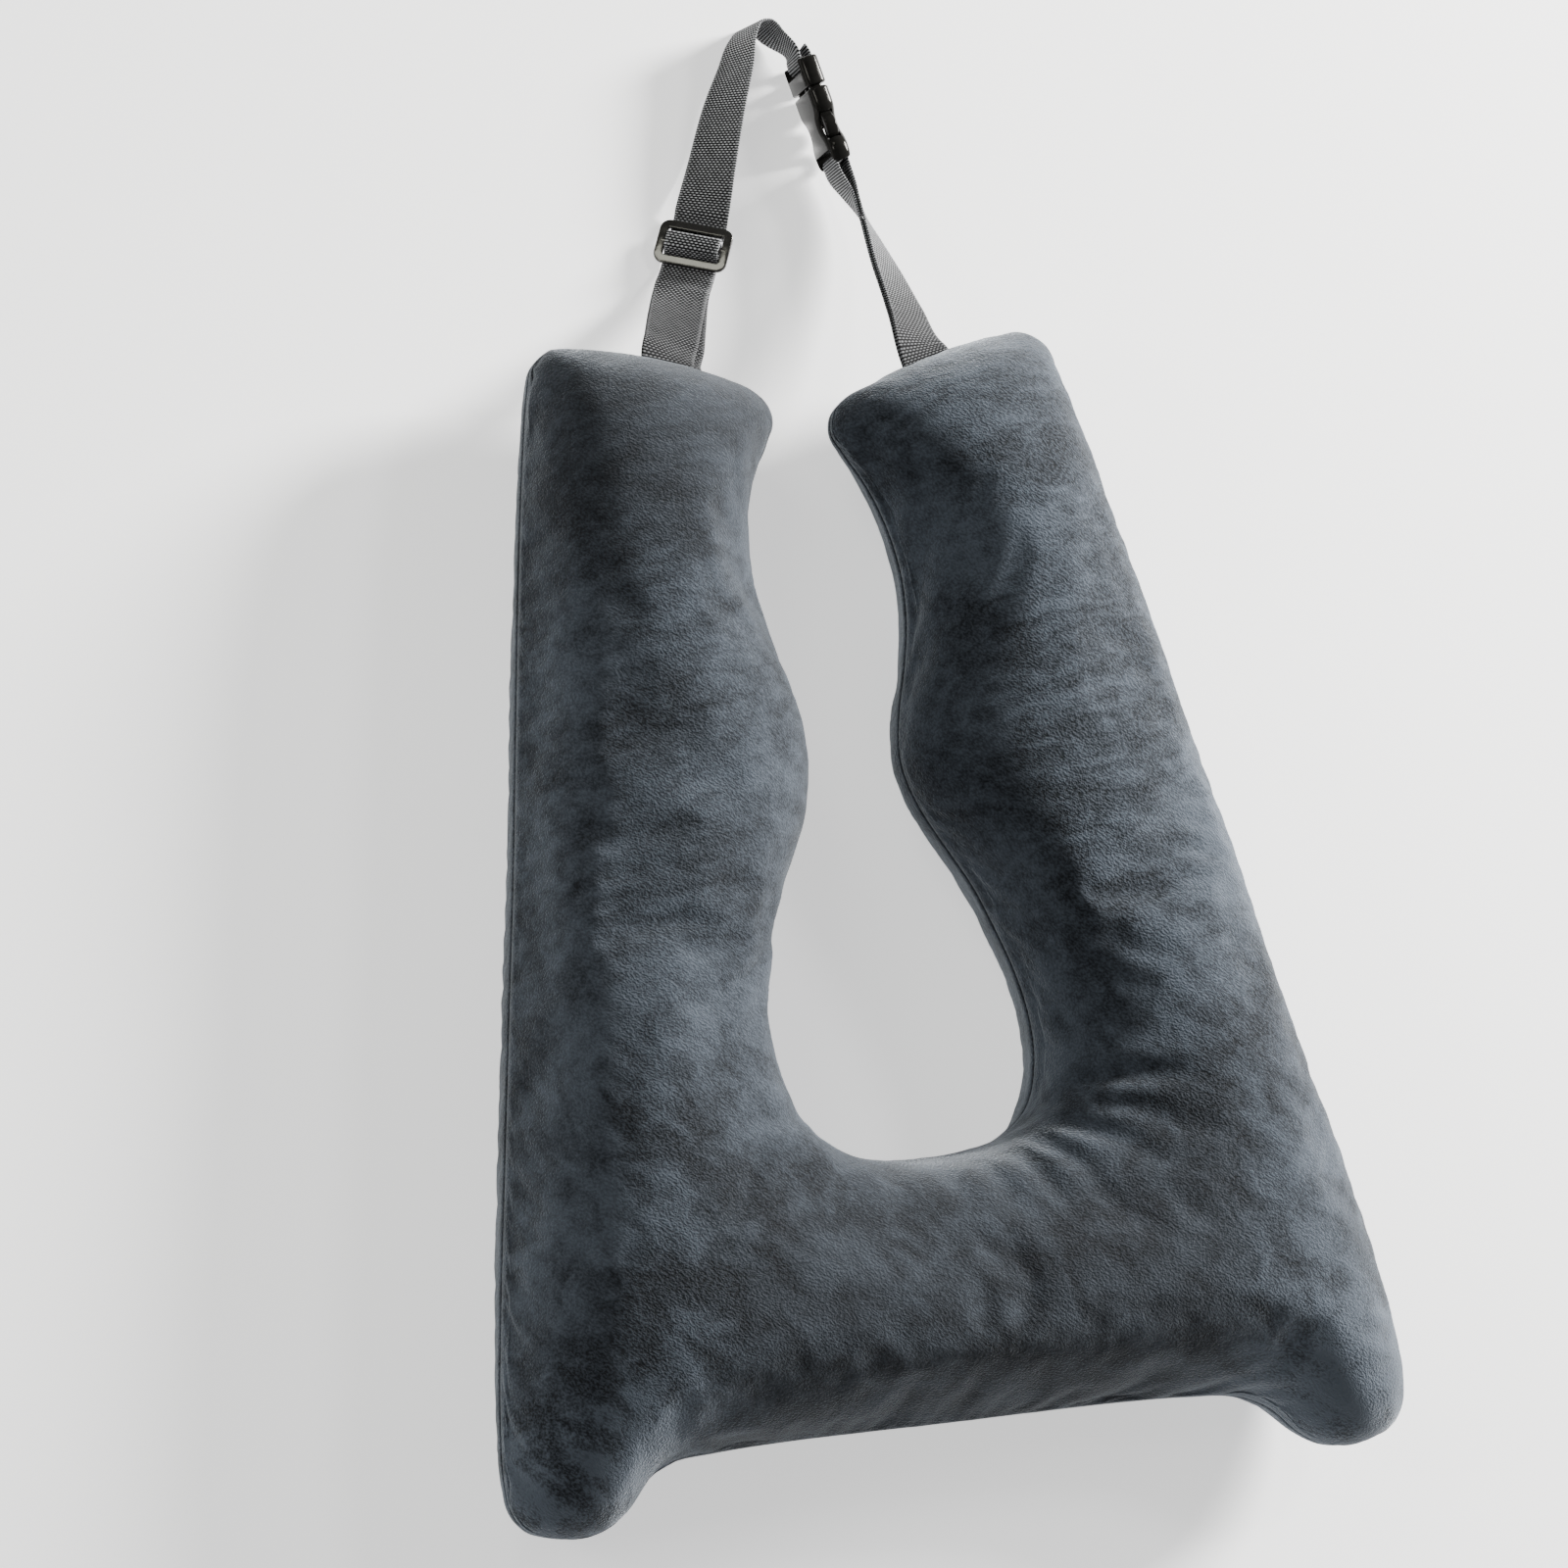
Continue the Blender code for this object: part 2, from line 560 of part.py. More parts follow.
def plate(name, outlines, depth, collection, finish, soften=0.0, segments=2):
    """A flat piece: a filled 2D curve with its holes, thickened, welded and softened."""
    curve = bpy.data.curves.new(name, "CURVE")
    curve.dimensions = "2D"
    curve.fill_mode = "BOTH"
    curve.extrude = depth / 2 * MM
    for outline in outlines:
        spline = curve.splines.new("POLY")
        spline.points.add(len(outline) - 1)
        for point, (x, y) in zip(spline.points, outline):
            point.co = (x * MM, y * MM, 0, 1)
        spline.use_cyclic_u = True
    guide = bpy.data.objects.new(name + "_curve", curve)
    collection.objects.link(guide)
    bpy.context.view_layer.update()
    mesh = bpy.data.meshes.new_from_object(guide.evaluated_get(bpy.context.evaluated_depsgraph_get()))
    bpy.data.objects.remove(guide)
    mesh.name = name
    work = bmesh.new()
    work.from_mesh(mesh)
    bmesh.ops.remove_doubles(work, verts=work.verts, dist=0.00001)
    bmesh.ops.dissolve_limit(work, angle_limit=0.01, verts=work.verts, edges=work.edges)
    work.to_mesh(mesh)
    work.free()
    obj = add_object(name, mesh, collection, finish)
    if soften:
        bevel = obj.modifiers.new("Soft edges", "BEVEL")
        bevel.width = soften * MM
        bevel.segments = segments
        bevel.limit_method = "ANGLE"
        bevel.angle_limit = math.radians(50)
    return obj


def boolean(obj, other, operation):
    modifier = obj.modifiers.new(operation.title(), "BOOLEAN")
    modifier.operation = operation
    modifier.object = other
    modifier.solver = "EXACT"
    return modifier


def cutter(obj):
    obj.hide_render = True
    obj.display_type = "WIRE"
    return obj


def place(obj, centre, width, axis, depth):
    """Put a piece that was made flat at the origin where its three directions say."""
    turned = Matrix([width, axis, depth]).transposed().to_4x4()
    at = (np.array(centre) - (0, ORIGIN_Y, 0)) * MM
    obj.matrix_world = Matrix.Translation(Vector(at)) @ turned


def build_slider(collection):
    """The three-bar slider: a rounded frame with two windows beside its middle bar."""
    window = (SLIDER_HEIGHT - 2 * SLIDER_BAR - SLIDER_MIDDLE_BAR) / 2
    middle = (SLIDER_MIDDLE_BAR + window) / 2
    outlines = [rounded_outline(rectangle(SLIDER_WIDTH, SLIDER_HEIGHT), SLIDER_CORNER, 5)]
    for side in (-1, 1):
        outlines.append(rounded_outline(rectangle(SLIDER_WINDOW, window, side * middle), 0.9, 2))
    slider = plate("slider", outlines, SLIDER_DEPTH, collection, GLOSS_BLACK, 0.6)
    width, axis, behind = slider_axes()
    place(slider, SLIDER_CENTRE, width, axis, -behind)
    return slider


def mirrored(half):
    """A closed outline from its right half, which starts and ends on the axis or beside it."""
    return half + [(-x, y) for x, y in reversed(half)]


def build_plug(collection, cutters):
    """The plug: a block with the strap's bar, two sprung prongs and a middle guide."""
    front, back = -SPLIT_GAP / 2, -SPLIT_GAP / 2 - PLUG_LENGTH
    half = BUCKLE_WIDTH / 2
    block = plate("buckle_plug", [rounded_outline(
        [(half, back), (half, front), (-half, front), (-half, back)], [4.0, 2.2, 2.2, 4.0], 3)],
        BUCKLE_DEPTH, collection, GLOSS_BLACK, 1.2, 2)
    bar_front = back + BAR_WIDTH
    slot = cutter(plate("plug_slot", [rectangle(
        STRAP_SLOT, STRAP_SLOT_LENGTH, bar_front + STRAP_SLOT_LENGTH / 2)],
        BUCKLE_DEPTH * 2, cutters, None))
    relief = BUCKLE_DEPTH / 2 - BAR_DEPTH / 2
    boolean(block, slot, "DIFFERENCE")
    for side in (-1, 1):
        trim = cutter(plate("plug_bar_relief", [rectangle(STRAP_SLOT, BAR_WIDTH * 2, back)],
                            relief * 2, cutters, None))
        trim.location = (0, 0, side * BUCKLE_DEPTH / 2 * MM)
        boolean(block, trim, "DIFFERENCE")
        trim.parent = block
    prongs = mirrored([
        (2.2, front - 3), (2.2, 15.5), (1.4, 17.5), (0.6, 18.0)])
    guide = cutter(plate("plug_guide", [prongs], PRONG_DEPTH - 1.4, cutters, None))
    boolean(block, guide, "UNION")
    guide.parent = block
    slot.parent = block
    for side in (-1, 1):
        arm = [(12.6, front - 3), (12.4, 6.0), (12.9, 11.0), (13.1, 13.4), (15.0, 15.0),
               (15.5, 17.4), (15.1, 20.8), (13.4, 23.4), (10.6, 24.4), (9.2, 22.6), (9.6, 18.0),
               (9.3, 11.0), (8.6, 5.0), (8.4, front - 3)]
        arm = [(side * x, y) for x, y in arm]
        arm = arm if side > 0 else arm[::-1]
        prong = cutter(plate("plug_prong", [rounded_outline(arm, 1.2, 2)],
                             PRONG_DEPTH, cutters, None, 0.5, 1))
        boolean(block, prong, "UNION")
        prong.parent = block
    return block


def build_socket(collection, cutters):
    """The socket: a shell with its mouth, side windows, a strap slot and a bar."""
    mouth = SPLIT_GAP / 2
    end = mouth + SOCKET_LENGTH
    half = BUCKLE_WIDTH / 2
    outline = mirrored([
        (half, mouth), (half, 9.6), (half - 1.2, 11.6), (half - 4.6, 14.4), (half - 5.6, 18.0),
        (half - 4.9, 21.6), (half - 1.6, 25.2), (half - 0.9, 27.2), (half - 1.2, end - 2.4),
        (half - 3.0, end)][::-1])
    body = plate("buckle_socket", [outline], BUCKLE_DEPTH, collection, GLOSS_BLACK, 1.2, 2)
    hollow = cutter(plate("socket_hollow", [rectangle(
        CAVITY_WIDTH, CAVITY_LENGTH, mouth - 1 + CAVITY_LENGTH / 2)], CAVITY_DEPTH, cutters, None))
    bar_front = end - BAR_WIDTH
    slot = cutter(plate("socket_slot", [rectangle(
        STRAP_SLOT, STRAP_SLOT_LENGTH, bar_front - STRAP_SLOT_LENGTH / 2)],
        BUCKLE_DEPTH * 2, cutters, None))
    for tool in (hollow, slot):
        boolean(body, tool, "DIFFERENCE")
        tool.parent = body
    relief = BUCKLE_DEPTH / 2 - BAR_DEPTH / 2
    for side in (-1, 1):
        trim = cutter(plate("socket_bar_relief", [rectangle(STRAP_SLOT, BAR_WIDTH * 2, end)],
                            relief * 2, cutters, None))
        trim.location = (0, 0, side * BUCKLE_DEPTH / 2 * MM)
        boolean(body, trim, "DIFFERENCE")
        trim.parent = body
    return body


def main():
    clear_scene()
    parts = new_collection("kids travel pillow")
    cutters = new_collection("cutters")
    build_cushion(parts)
    build_long(parts)
    build_return(parts)
    build_loop(parts)
    build_slider(parts)
    width, axis, depth = buckle_axes()
    for piece in (build_plug(parts, cutters), build_socket(parts, cutters)):
        place(piece, BUCKLE_SPLIT, width, axis, depth)


main()
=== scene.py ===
# %% [markdown]
# # A kids travel pillow
#
# The pillow is an A of plush, filled with loose fibre and sewn from two flat panels. Its arms
# stand either side of a child's head, and a strap of woven webbing hangs it from a headrest.
# Here it lies on its back, as in the photograph, with the strap laid out past the arms.
#
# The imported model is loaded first. It is the frame: every piece below is worked out in metres in
# the same coordinates, with X across the pillow, Y from its feet to its strap and Z up.

import math

import bmesh
import bpy
import numpy as np
from mathutils import Matrix, Vector
from mathutils.geometry import delaunay_2d_cdt


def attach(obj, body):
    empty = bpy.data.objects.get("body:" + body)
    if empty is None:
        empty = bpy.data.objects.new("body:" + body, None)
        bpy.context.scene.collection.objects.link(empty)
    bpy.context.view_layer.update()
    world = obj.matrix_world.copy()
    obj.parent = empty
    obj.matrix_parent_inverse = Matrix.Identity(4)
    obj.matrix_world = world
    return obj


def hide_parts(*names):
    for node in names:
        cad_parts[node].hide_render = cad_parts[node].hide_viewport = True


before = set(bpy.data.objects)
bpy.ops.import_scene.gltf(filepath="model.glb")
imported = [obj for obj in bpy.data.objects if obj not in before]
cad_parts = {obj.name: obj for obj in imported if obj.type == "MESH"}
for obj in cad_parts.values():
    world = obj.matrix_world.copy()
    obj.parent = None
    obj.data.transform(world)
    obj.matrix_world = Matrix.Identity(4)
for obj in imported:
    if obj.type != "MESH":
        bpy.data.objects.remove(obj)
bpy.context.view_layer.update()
print("nodes:", sorted(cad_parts))

# %% [markdown]
# ## The camera
#
# The photograph was taken from far off with a long lens: the two sides of the seam line keep the
# same length in it. The camera looks down at the pillow from its left, a little from the feet's
# side, and is rolled so that the left arm stands upright in the picture. The three directions
# below are the camera's right, its up and the way back from the pillow to the camera.

# %% Camera
LENS, SENSOR, FARTHEST = 222.46, 36.0, 60.0      # two in mm, and metres
CAMERA_AT = (-1.9674, -0.6375, 3.8331)
CAMERA_RIGHT = (0.8903, -0.1551, 0.4282)
CAMERA_UP = (0.0749, 0.9773, 0.1982)
CAMERA_BACK = (-0.4492, -0.1444, 0.8817)


def make_camera():
    """Its matrix has the three directions as its columns, and its place as the fourth."""
    data = bpy.data.cameras.new("Camera")
    data.lens, data.sensor_width, data.clip_end = LENS, SENSOR, FARTHEST
    camera = bpy.data.objects.new("Camera", data)
    bpy.context.scene.collection.objects.link(camera)
    turned = Matrix([CAMERA_RIGHT, CAMERA_UP, CAMERA_BACK]).transposed().to_4x4()
    camera.matrix_world = Matrix.Translation(CAMERA_AT) @ turned
    bpy.context.scene.camera = camera


make_camera()
print("camera at", CAMERA_AT)

# %% [markdown]
# ## Shapes from arrays
#
# Each new piece is a surface worked out with numpy. Three helpers do most of the work: a smooth
# curve through the rows of a table, a smooth step from 0 to 1, and a mesh from arrays. The tables
# are in millimetres from the middle of the feet's ends, as a pattern maker would measure them,
# and `placed` turns them into metres in the frame. Modelling by hand would do too, but a table
# can be measured off the real thing and corrected in one place.

# %% Units and smooth curves
MM = 0.001
FEET_AT = 338.2          # the frame's origin lies this far past the feet's ends


def placed(points):
    """Millimetres from the feet's ends to metres in the frame: (p - (0, FEET_AT, 0)) / 1000."""
    return (np.asarray(points, dtype=float) - (0.0, FEET_AT, 0.0)) * MM


def unit(vectors):
    """Each vector divided by its own length."""
    return vectors / np.linalg.norm(vectors, axis=-1, keepdims=True)


def smoothstep(value, low, high):
    """3 t^2 - 2 t^3, where t runs from 0 at low to 1 at high."""
    t = np.clip((value - low) / (high - low), 0.0, 1.0)
    return t * t * (3 - 2 * t)


def smooth_curve(rows, samples, closed=False):
    """Points on a smooth curve through all rows, with `samples` steps between two rows.

    Each stretch is a cubic whose end slopes are averages of the chords' slopes beside it.
    """
    rows = np.asarray(rows, dtype=float)
    if closed:
        padded = np.vstack([rows[-1:], rows, rows[:2]])
    else:
        padded = np.vstack([2 * rows[0] - rows[1], rows, 2 * rows[-1] - rows[-2]])
    chords = np.diff(padded, axis=0)
    spans = np.linalg.norm(chords[:, :3], axis=1)[:, None]
    slopes = chords / spans
    tangents = (slopes[:-1] * spans[1:] + slopes[1:] * spans[:-1]) / (spans[:-1] + spans[1:])
    start, end, span = padded[1:-2, None], padded[2:-1, None], spans[1:-1, None]
    leave, arrive = tangents[:-1, None] * span, tangents[1:, None] * span
    t = (np.arange(samples) / samples)[None, :, None]
    curve = (start * (1 + 2 * t) * (1 - t) ** 2 + end * t ** 2 * (3 - 2 * t)
             + leave * t * (1 - t) ** 2 - arrive * t ** 2 * (1 - t))
    curve = curve.reshape(-1, rows.shape[1])
    return curve if closed else np.vstack([curve, rows[-1]])


print("the origin lies", FEET_AT, "mm past the feet's ends")

# %% [markdown]
# A mesh is made from whole arrays. Its object stays at the origin, unturned and unscaled, and
# has its place in its points.

# %% Meshes from arrays


def new_object(name, mesh):
    """An object at the origin that shows this mesh."""
    obj = bpy.data.objects.new(name, mesh)
    bpy.context.scene.collection.objects.link(obj)
    return obj


def mesh_object(name, points, faces, smooth=True):
    """An object at the origin whose mesh has these points, in metres, and these faces."""
    mesh = bpy.data.meshes.new(name)
    mesh.from_pydata(np.asarray(points).tolist(), [], np.asarray(faces).tolist())
    mesh.update()
    if smooth:
        mesh.shade_smooth()
    return new_object(name, mesh)


def points_of(mesh):
    """All points of a mesh, as rows of x, y and z."""
    co = np.empty(len(mesh.vertices) * 3)
    mesh.vertices.foreach_get("co", co)
    return co.reshape(-1, 3)


def put_points(mesh, points):
    """Give a mesh new places for its points, in their order."""
    mesh.vertices.foreach_set("co", np.ascontiguousarray(points).ravel())
    mesh.update()


def point_attribute(mesh, name, values):
    """Keep one number a point in the mesh, for its material to read."""
    layer = mesh.attributes.new(name, "FLOAT", "POINT")
    layer.data.foreach_set("value", np.asarray(values, dtype=np.float32))


# %% [markdown]
# ## The cushion's seam line
#
# A pillow like this is cut as two flat panels and sewn round the edge, turned and filled. Its
# outline is the seam line, so that is where the shape starts. The table is its right half, in x
# and y. The left half is the mirror image, and `uneven` then adds what the filling does: the
# left arm is stuffed a little longer, and both bulges sit a little to the left.

# %% Seam line
SEAM_POINTS = [
    (0, 31), (45, 31.2), (88, 31), (120, 29.8), (143, 27.4), (157, 20.8), (169, 8.6), (180, 2),
    (191, 0), (205, 2), (216, 6.5), (221.5, 16), (222, 28), (219, 55), (211, 100), (198.5, 163),
    (186, 226), (173, 290), (161, 354), (149, 418), (137.5, 475), (131, 503), (127, 515),
    (118.5, 521), (101, 519), (80, 515), (59, 509.2), (39, 502.5), (25, 497), (17, 490),
    (15.2, 481), (20, 472), (29.6, 455.6), (36.8, 435), (40, 414), (38.8, 392.5), (33.9, 371.5),
    (28.1, 351), (26, 330), (30.7, 308.5), (40.1, 289), (50.5, 270), (58.1, 250), (64.6, 230),
    (68.5, 208), (67.6, 187), (60, 167.5), (43, 155), (21.5, 150.2), (0, 149),
]
ARM_STRETCH, ARM_FOOT, ARM_TOP, SIDE_BLEND = 2.7, 150.0, 420.0, 15.0
BULGE_SHIFT, BULGE_Y, BULGE_LENGTH, BULGE_REACH = 2.8, 326.0, 26.0, 60.0
EDGE_SPACING, TURN_SPACING = 4.6, 8.0      # mm and degrees between points along the seam
SEAM_SAMPLES = 24                          # points between two rows of the table


def uneven(points):
    """The mirrored outline with what the filling does to it.

    The left arm goes up and the right one down by ARM_STRETCH, eased in from the feet to the
    tops. Beside the opening all goes left, by BULGE_SHIFT times a bell curve along the arms.
    """
    x, y = points[:, 0], points[:, 1]
    side = -np.clip(x / SIDE_BLEND, -1, 1)
    stretch = ARM_STRETCH * side * smoothstep(y, ARM_FOOT, ARM_TOP)
    near_opening = np.clip(1 - np.abs(x) / BULGE_REACH, 0, 1)
    bulge = -BULGE_SHIFT * near_opening * np.exp(-((y - BULGE_Y) / BULGE_LENGTH) ** 2)
    return np.column_stack([x + bulge, y + stretch])


def seam_line():
    """The closed seam line, the length along it at each point, and its whole length.

    The points are even in the sum of length over EDGE_SPACING and turn over TURN_SPACING, so
    they lie closer in the bends.
    """
    half = np.array(SEAM_POINTS, dtype=float)
    left = half[1:-1][::-1] * (-1, 1)
    fine = uneven(smooth_curve(np.vstack([half, left]), SEAM_SAMPLES, closed=True))
    loop = np.vstack([fine, fine[:1]])
    steps = np.diff(loop, axis=0)
    lengths = np.linalg.norm(steps, axis=1)
    headings = np.unwrap(np.arctan2(steps[:, 1], steps[:, 0]))
    turns = np.abs(np.diff(np.append(headings, headings[0] + 2 * math.pi)))
    cost = lengths / EDGE_SPACING + np.degrees(turns) / TURN_SPACING
    cost = np.concatenate([[0], np.cumsum(cost)])
    length = np.concatenate([[0], np.cumsum(lengths)])
    count = int(round(cost[-1]))
    marks = np.arange(count) * cost[-1] / count
    loop = np.column_stack([np.interp(marks, cost, loop[:, axis]) for axis in (0, 1)])
    return loop, np.interp(marks, cost, length), length[-1]


seam, seam_place, seam_length = seam_line()
print(f"seam line: {seam_length:.0f} mm, {len(seam)} points")

# %% [markdown]
# ## The filled panels
#
# Each panel is meshed flat: rows of points follow the seam, and a grid of points fills the rest.
# Filled cloth bulges like a soap film with air behind it. Such a film is equally curved all over
# and has no height at the seam. On a long strip that gives a parabola, so the square root of it
# is a half circle, the round flank of a stuffed arm. Where the panel is wide the height levels
# off, because there is only so much filling.
#
# The rows start at the cushion's widest line. The needle goes through the fourth row below it,
# and the rows beside that one are drawn in less and less, which makes the seam's groove.

# %% Rows along the seam
CROWN = 50.0             # mm from the widest line's level to the fullest place
SEAM_HEIGHT = 43.0       # the widest line's level above the floor
FULL_FROM = 80.0         # the film's height from which the filling is spread level
TINY = 1e-9              # keeps away divisions by zero
# Each row: its height on the round flank, and how deep the seam draws the lower panel in there
RIM_ROWS = [(0.0, 0.0), (1.7, 0.0), (2.9, 0.12), (3.55, 0.55), (4.0, 1.05), (4.45, 0.55),
            (5.1, 0.12), (6.8, 0.0), (10.5, 0.0), (15.5, 0.0), (21.0, 0.0)]
HALF_WIDTH = 45.0        # of a typical arm: a row at height h lies h * h / (2 * HALF_WIDTH) in
SEAM_ROW = 4
CHUNK = 1500             # points compared with the seam at a time, to spare memory


def inward(loop):
    """Directions into a closed loop: the run from neighbour to neighbour, turned to its left."""
    along = unit(np.roll(loop, -1, axis=0) - np.roll(loop, 1, axis=0))
    return np.column_stack([-along[:, 1], along[:, 0]])


def distance_to(loop, points):
    """Distance of each point to a closed loop, whether it is inside, and the nearest edge.

    The nearest place on an edge is the point's offset projected onto it, kept between its ends.
    A point is inside when a ray to its right crosses an odd number of edges.
    """
    start, end = loop, np.roll(loop, -1, axis=0)
    edge = end - start
    rise = np.where(edge[:, 1] == 0, TINY, edge[:, 1])
    nearest, inside, which = [], [], []
    for chunk in np.array_split(points, max(len(points) // CHUNK, 1)):
        offset = chunk[:, None, :] - start[None]
        along = np.clip((offset * edge).sum(2) / (edge ** 2).sum(1), 0, 1)
        away = np.linalg.norm(offset - along[..., None] * edge, axis=2)
        crosses = (start[:, 1] > chunk[:, None, 1]) != (end[:, 1] > chunk[:, None, 1])
        at_x = start[:, 0] + (chunk[:, None, 1] - start[:, 1]) * edge[:, 0] / rise
        nearest.append(away.min(axis=1))
        which.append(away.argmin(axis=1))
        inside.append((crosses & (chunk[:, None, 0] < at_x)).sum(axis=1) % 2 == 1)
    return np.concatenate(nearest), np.concatenate(inside), np.concatenate(which)


rings = [seam + inward(seam) * height ** 2 / (2 * HALF_WIDTH) for height, _ in RIM_ROWS]
print(f"{len(rings)} rows, the last {rings[-1][:, 1].min() - seam[:, 1].min():.1f} mm in")

# %% [markdown]
# Inside the last row a grid of even triangles fills the panel. Blender's own triangulation joins
# the two, and leaves no long thin triangles, which a cloth simulation wouldn't fold well.

# %% Panel mesh
FILL_SPACING = 5.4                          # between the grid's points
FILL_GAP = 3.4                              # from the last row to the grid
GRID_LENGTH, GRID_HALF, GRID_COLUMNS = 530.0, 225.0, 42
MERGE_BELOW = 1e-6                          # the triangulation joins points closer than this


def rim_faces(rows, count):
    """Two triangles for each quad between neighbouring rows of `count` points."""
    i = np.arange(count)
    j = (i + 1) % count
    faces = []
    for row in range(rows - 1):
        a, b = row * count + i, row * count + j
        c, d = a + count, b + count
        faces += [np.column_stack([a, b, d]), np.column_stack([a, d, c])]
    return faces


def fill_grid():
    """Points of even triangles, every other line shifted by half, inside the last row."""
    row_step = FILL_SPACING * math.sqrt(3) / 2
    y, x = np.mgrid[0:int(GRID_LENGTH / row_step), -GRID_COLUMNS:GRID_COLUMNS + 1]
    grid = np.column_stack([(x + 0.5 * (y % 2)).ravel() * FILL_SPACING, y.ravel() * row_step])
    grid = grid[np.abs(grid[:, 0]) < GRID_HALF]
    distance, inside, _ = distance_to(rings[-1], grid)
    return grid[inside & (distance > FILL_GAP)]


def panel_mesh():
    """The flat panel: points, triangles, distance from the seam and place along it."""
    count = len(seam)
    corners = [Vector(point) for point in np.vstack([rings[-1], fill_grid()])]
    edges = [(i, (i + 1) % count) for i in range(count)]
    _, _, faces, origins, _, _ = delaunay_2d_cdt(corners, edges, [], 1, MERGE_BELOW)
    where = np.array([source[0] for source in origins])
    inner = count * (len(rings) - 1) + where[np.array(faces)]
    flat = np.vstack(rings[:-1] + [np.array([point[:] for point in corners])])
    away, _, nearest = distance_to(seam, flat)
    return flat, np.vstack(rim_faces(len(rings), count) + [inner]), away, seam_place[nearest]


flat, panel_faces, from_seam, along_seam = panel_mesh()
rim_count = len(seam)
print(f"flat panel: {len(flat)} points, {len(panel_faces)} triangles")

# %% [markdown]
# The film's heights are found with conjugate gradients: one unknown a point, and a product with
# the stiffness of the triangles in each step.

# %% Filled shape
MOST_STEPS, CLOSE_ENOUGH = 900, 1e-10


def membrane(flat, triangles, fixed):
    """Height of a film held at the seam and blown up: its curvatures in x and y add up to -1.

    Each triangle gives each of its edges half the cotangent of the angle opposite as a weight,
    and each of its corners a third of its area as a load.
    """
    corner, count = flat[triangles], len(flat)
    first, second, weight, area = [], [], [], np.zeros(count)
    for k in range(3):
        i, j, opposite = (triangles[:, (k + n) % 3] for n in (1, 2, 0))
        one, two = corner[:, (k + 1) % 3] - corner[:, k], corner[:, (k + 2) % 3] - corner[:, k]
        cross = np.abs(one[:, 0] * two[:, 1] - one[:, 1] * two[:, 0])
        first.append(i)
        second.append(j)
        weight.append(0.5 * (one * two).sum(1) / np.maximum(cross, TINY))
        area += np.bincount(opposite, cross / 6, count)
    i, j, w = map(np.concatenate, (first, second, weight))
    diagonal = np.bincount(i, w, count) + np.bincount(j, w, count)
    free = np.arange(count) >= fixed

    def product(u):
        """The stiffness times u at the free points, and 0 at the held ones."""
        off = np.bincount(i, w * u[j], count) + np.bincount(j, w * u[i], count)
        return np.where(free, diagonal * u - off, 0.0)

    u = np.zeros(count)
    residual = np.where(free, area, 0.0)
    scaled = residual / np.maximum(diagonal, TINY)
    step, energy = scaled.copy(), residual @ scaled
    for _ in range(MOST_STEPS):
        pushed = product(step)
        size = energy / (step @ pushed)
        u += size * step
        residual -= size * pushed
        scaled = residual / np.maximum(diagonal, TINY)
        energy, before = residual @ scaled, energy
        if energy < CLOSE_ENOUGH * (area @ u):
            break
        step = scaled + step * energy / before
    return np.maximum(u, 0.0)


reach = np.sqrt(2 * membrane(flat, panel_faces, rim_count))
lift = CROWN * np.sin(math.pi / 2 * np.minimum(reach / FULL_FROM, 1.0))
print(f"crown: {lift.max():.1f} mm above the seam")

# %% [markdown]
# The two panels share the points of the widest line, so the cushion is one closed form. The
# lower one is pressed flat where it rests. The upper one starts slightly slack.

# %% Cushion before the simulation
SLACK = 0.985            # how full the cushion is before the simulation
LYING_BELOW = 0.5        # mm: a point lower than this rests on the floor


def cushion_shape():
    """Upper and lower panel as one list of points and triangles, in millimetres.

    The upper one lies above the widest line's level by its share of the lift, and the lower one
    below it by the lift, but nowhere below the floor.
    """
    count = rim_count
    drawn_in = flat.copy()
    normals = inward(seam)
    for row, (_, depth) in enumerate(RIM_ROWS):
        drawn_in[row * count:(row + 1) * count] += normals * depth
    upper = np.column_stack([flat, SEAM_HEIGHT + lift * SLACK])
    lower = np.column_stack([drawn_in, np.maximum(SEAM_HEIGHT - lift, 0.0)])[count:]
    shift = len(flat) - count
    under = np.where(panel_faces < count, panel_faces, panel_faces + shift)
    return np.vstack([upper, lower]), np.vstack([panel_faces, under[:, ::-1]])


cushion_points, cushion_faces = cushion_shape()
cushion = mesh_object("cushion_plush", placed(cushion_points), cushion_faces)
# Each point's number in the flat panel, whether it is above, and whether it rests on the floor
twice = np.concatenate([np.arange(len(flat)), np.arange(rim_count, len(flat))])
is_upper = np.arange(len(twice)) < len(flat)
lying = cushion_points[:, 2] < LYING_BELOW
print(f"cushion: {len(twice)} points, {lying.sum()} of them on the floor")

# %% [markdown]
# Now the cover is filled. A cloth simulation with pressure blows it up, so that the cloth pulls
# tight between the bends and wrinkles where it has length to spare, as no formula would do it.
# Held still are the widest line, the rows down past the seam's groove, and what rests on the
# floor. A cap on each point's move keeps the form near the computed film, and it is small below,
# where the floor and the filling's weight hold the cloth.

# %% Cloth simulation
FRAMES, PRESSURE = 20, 4.0
MAX_MOVE, MAX_MOVE_BELOW = 6.0, 1.0         # mm, of the upper and of the lower panel
HELD_ROWS = SEAM_ROW + 4                    # of the lower panel


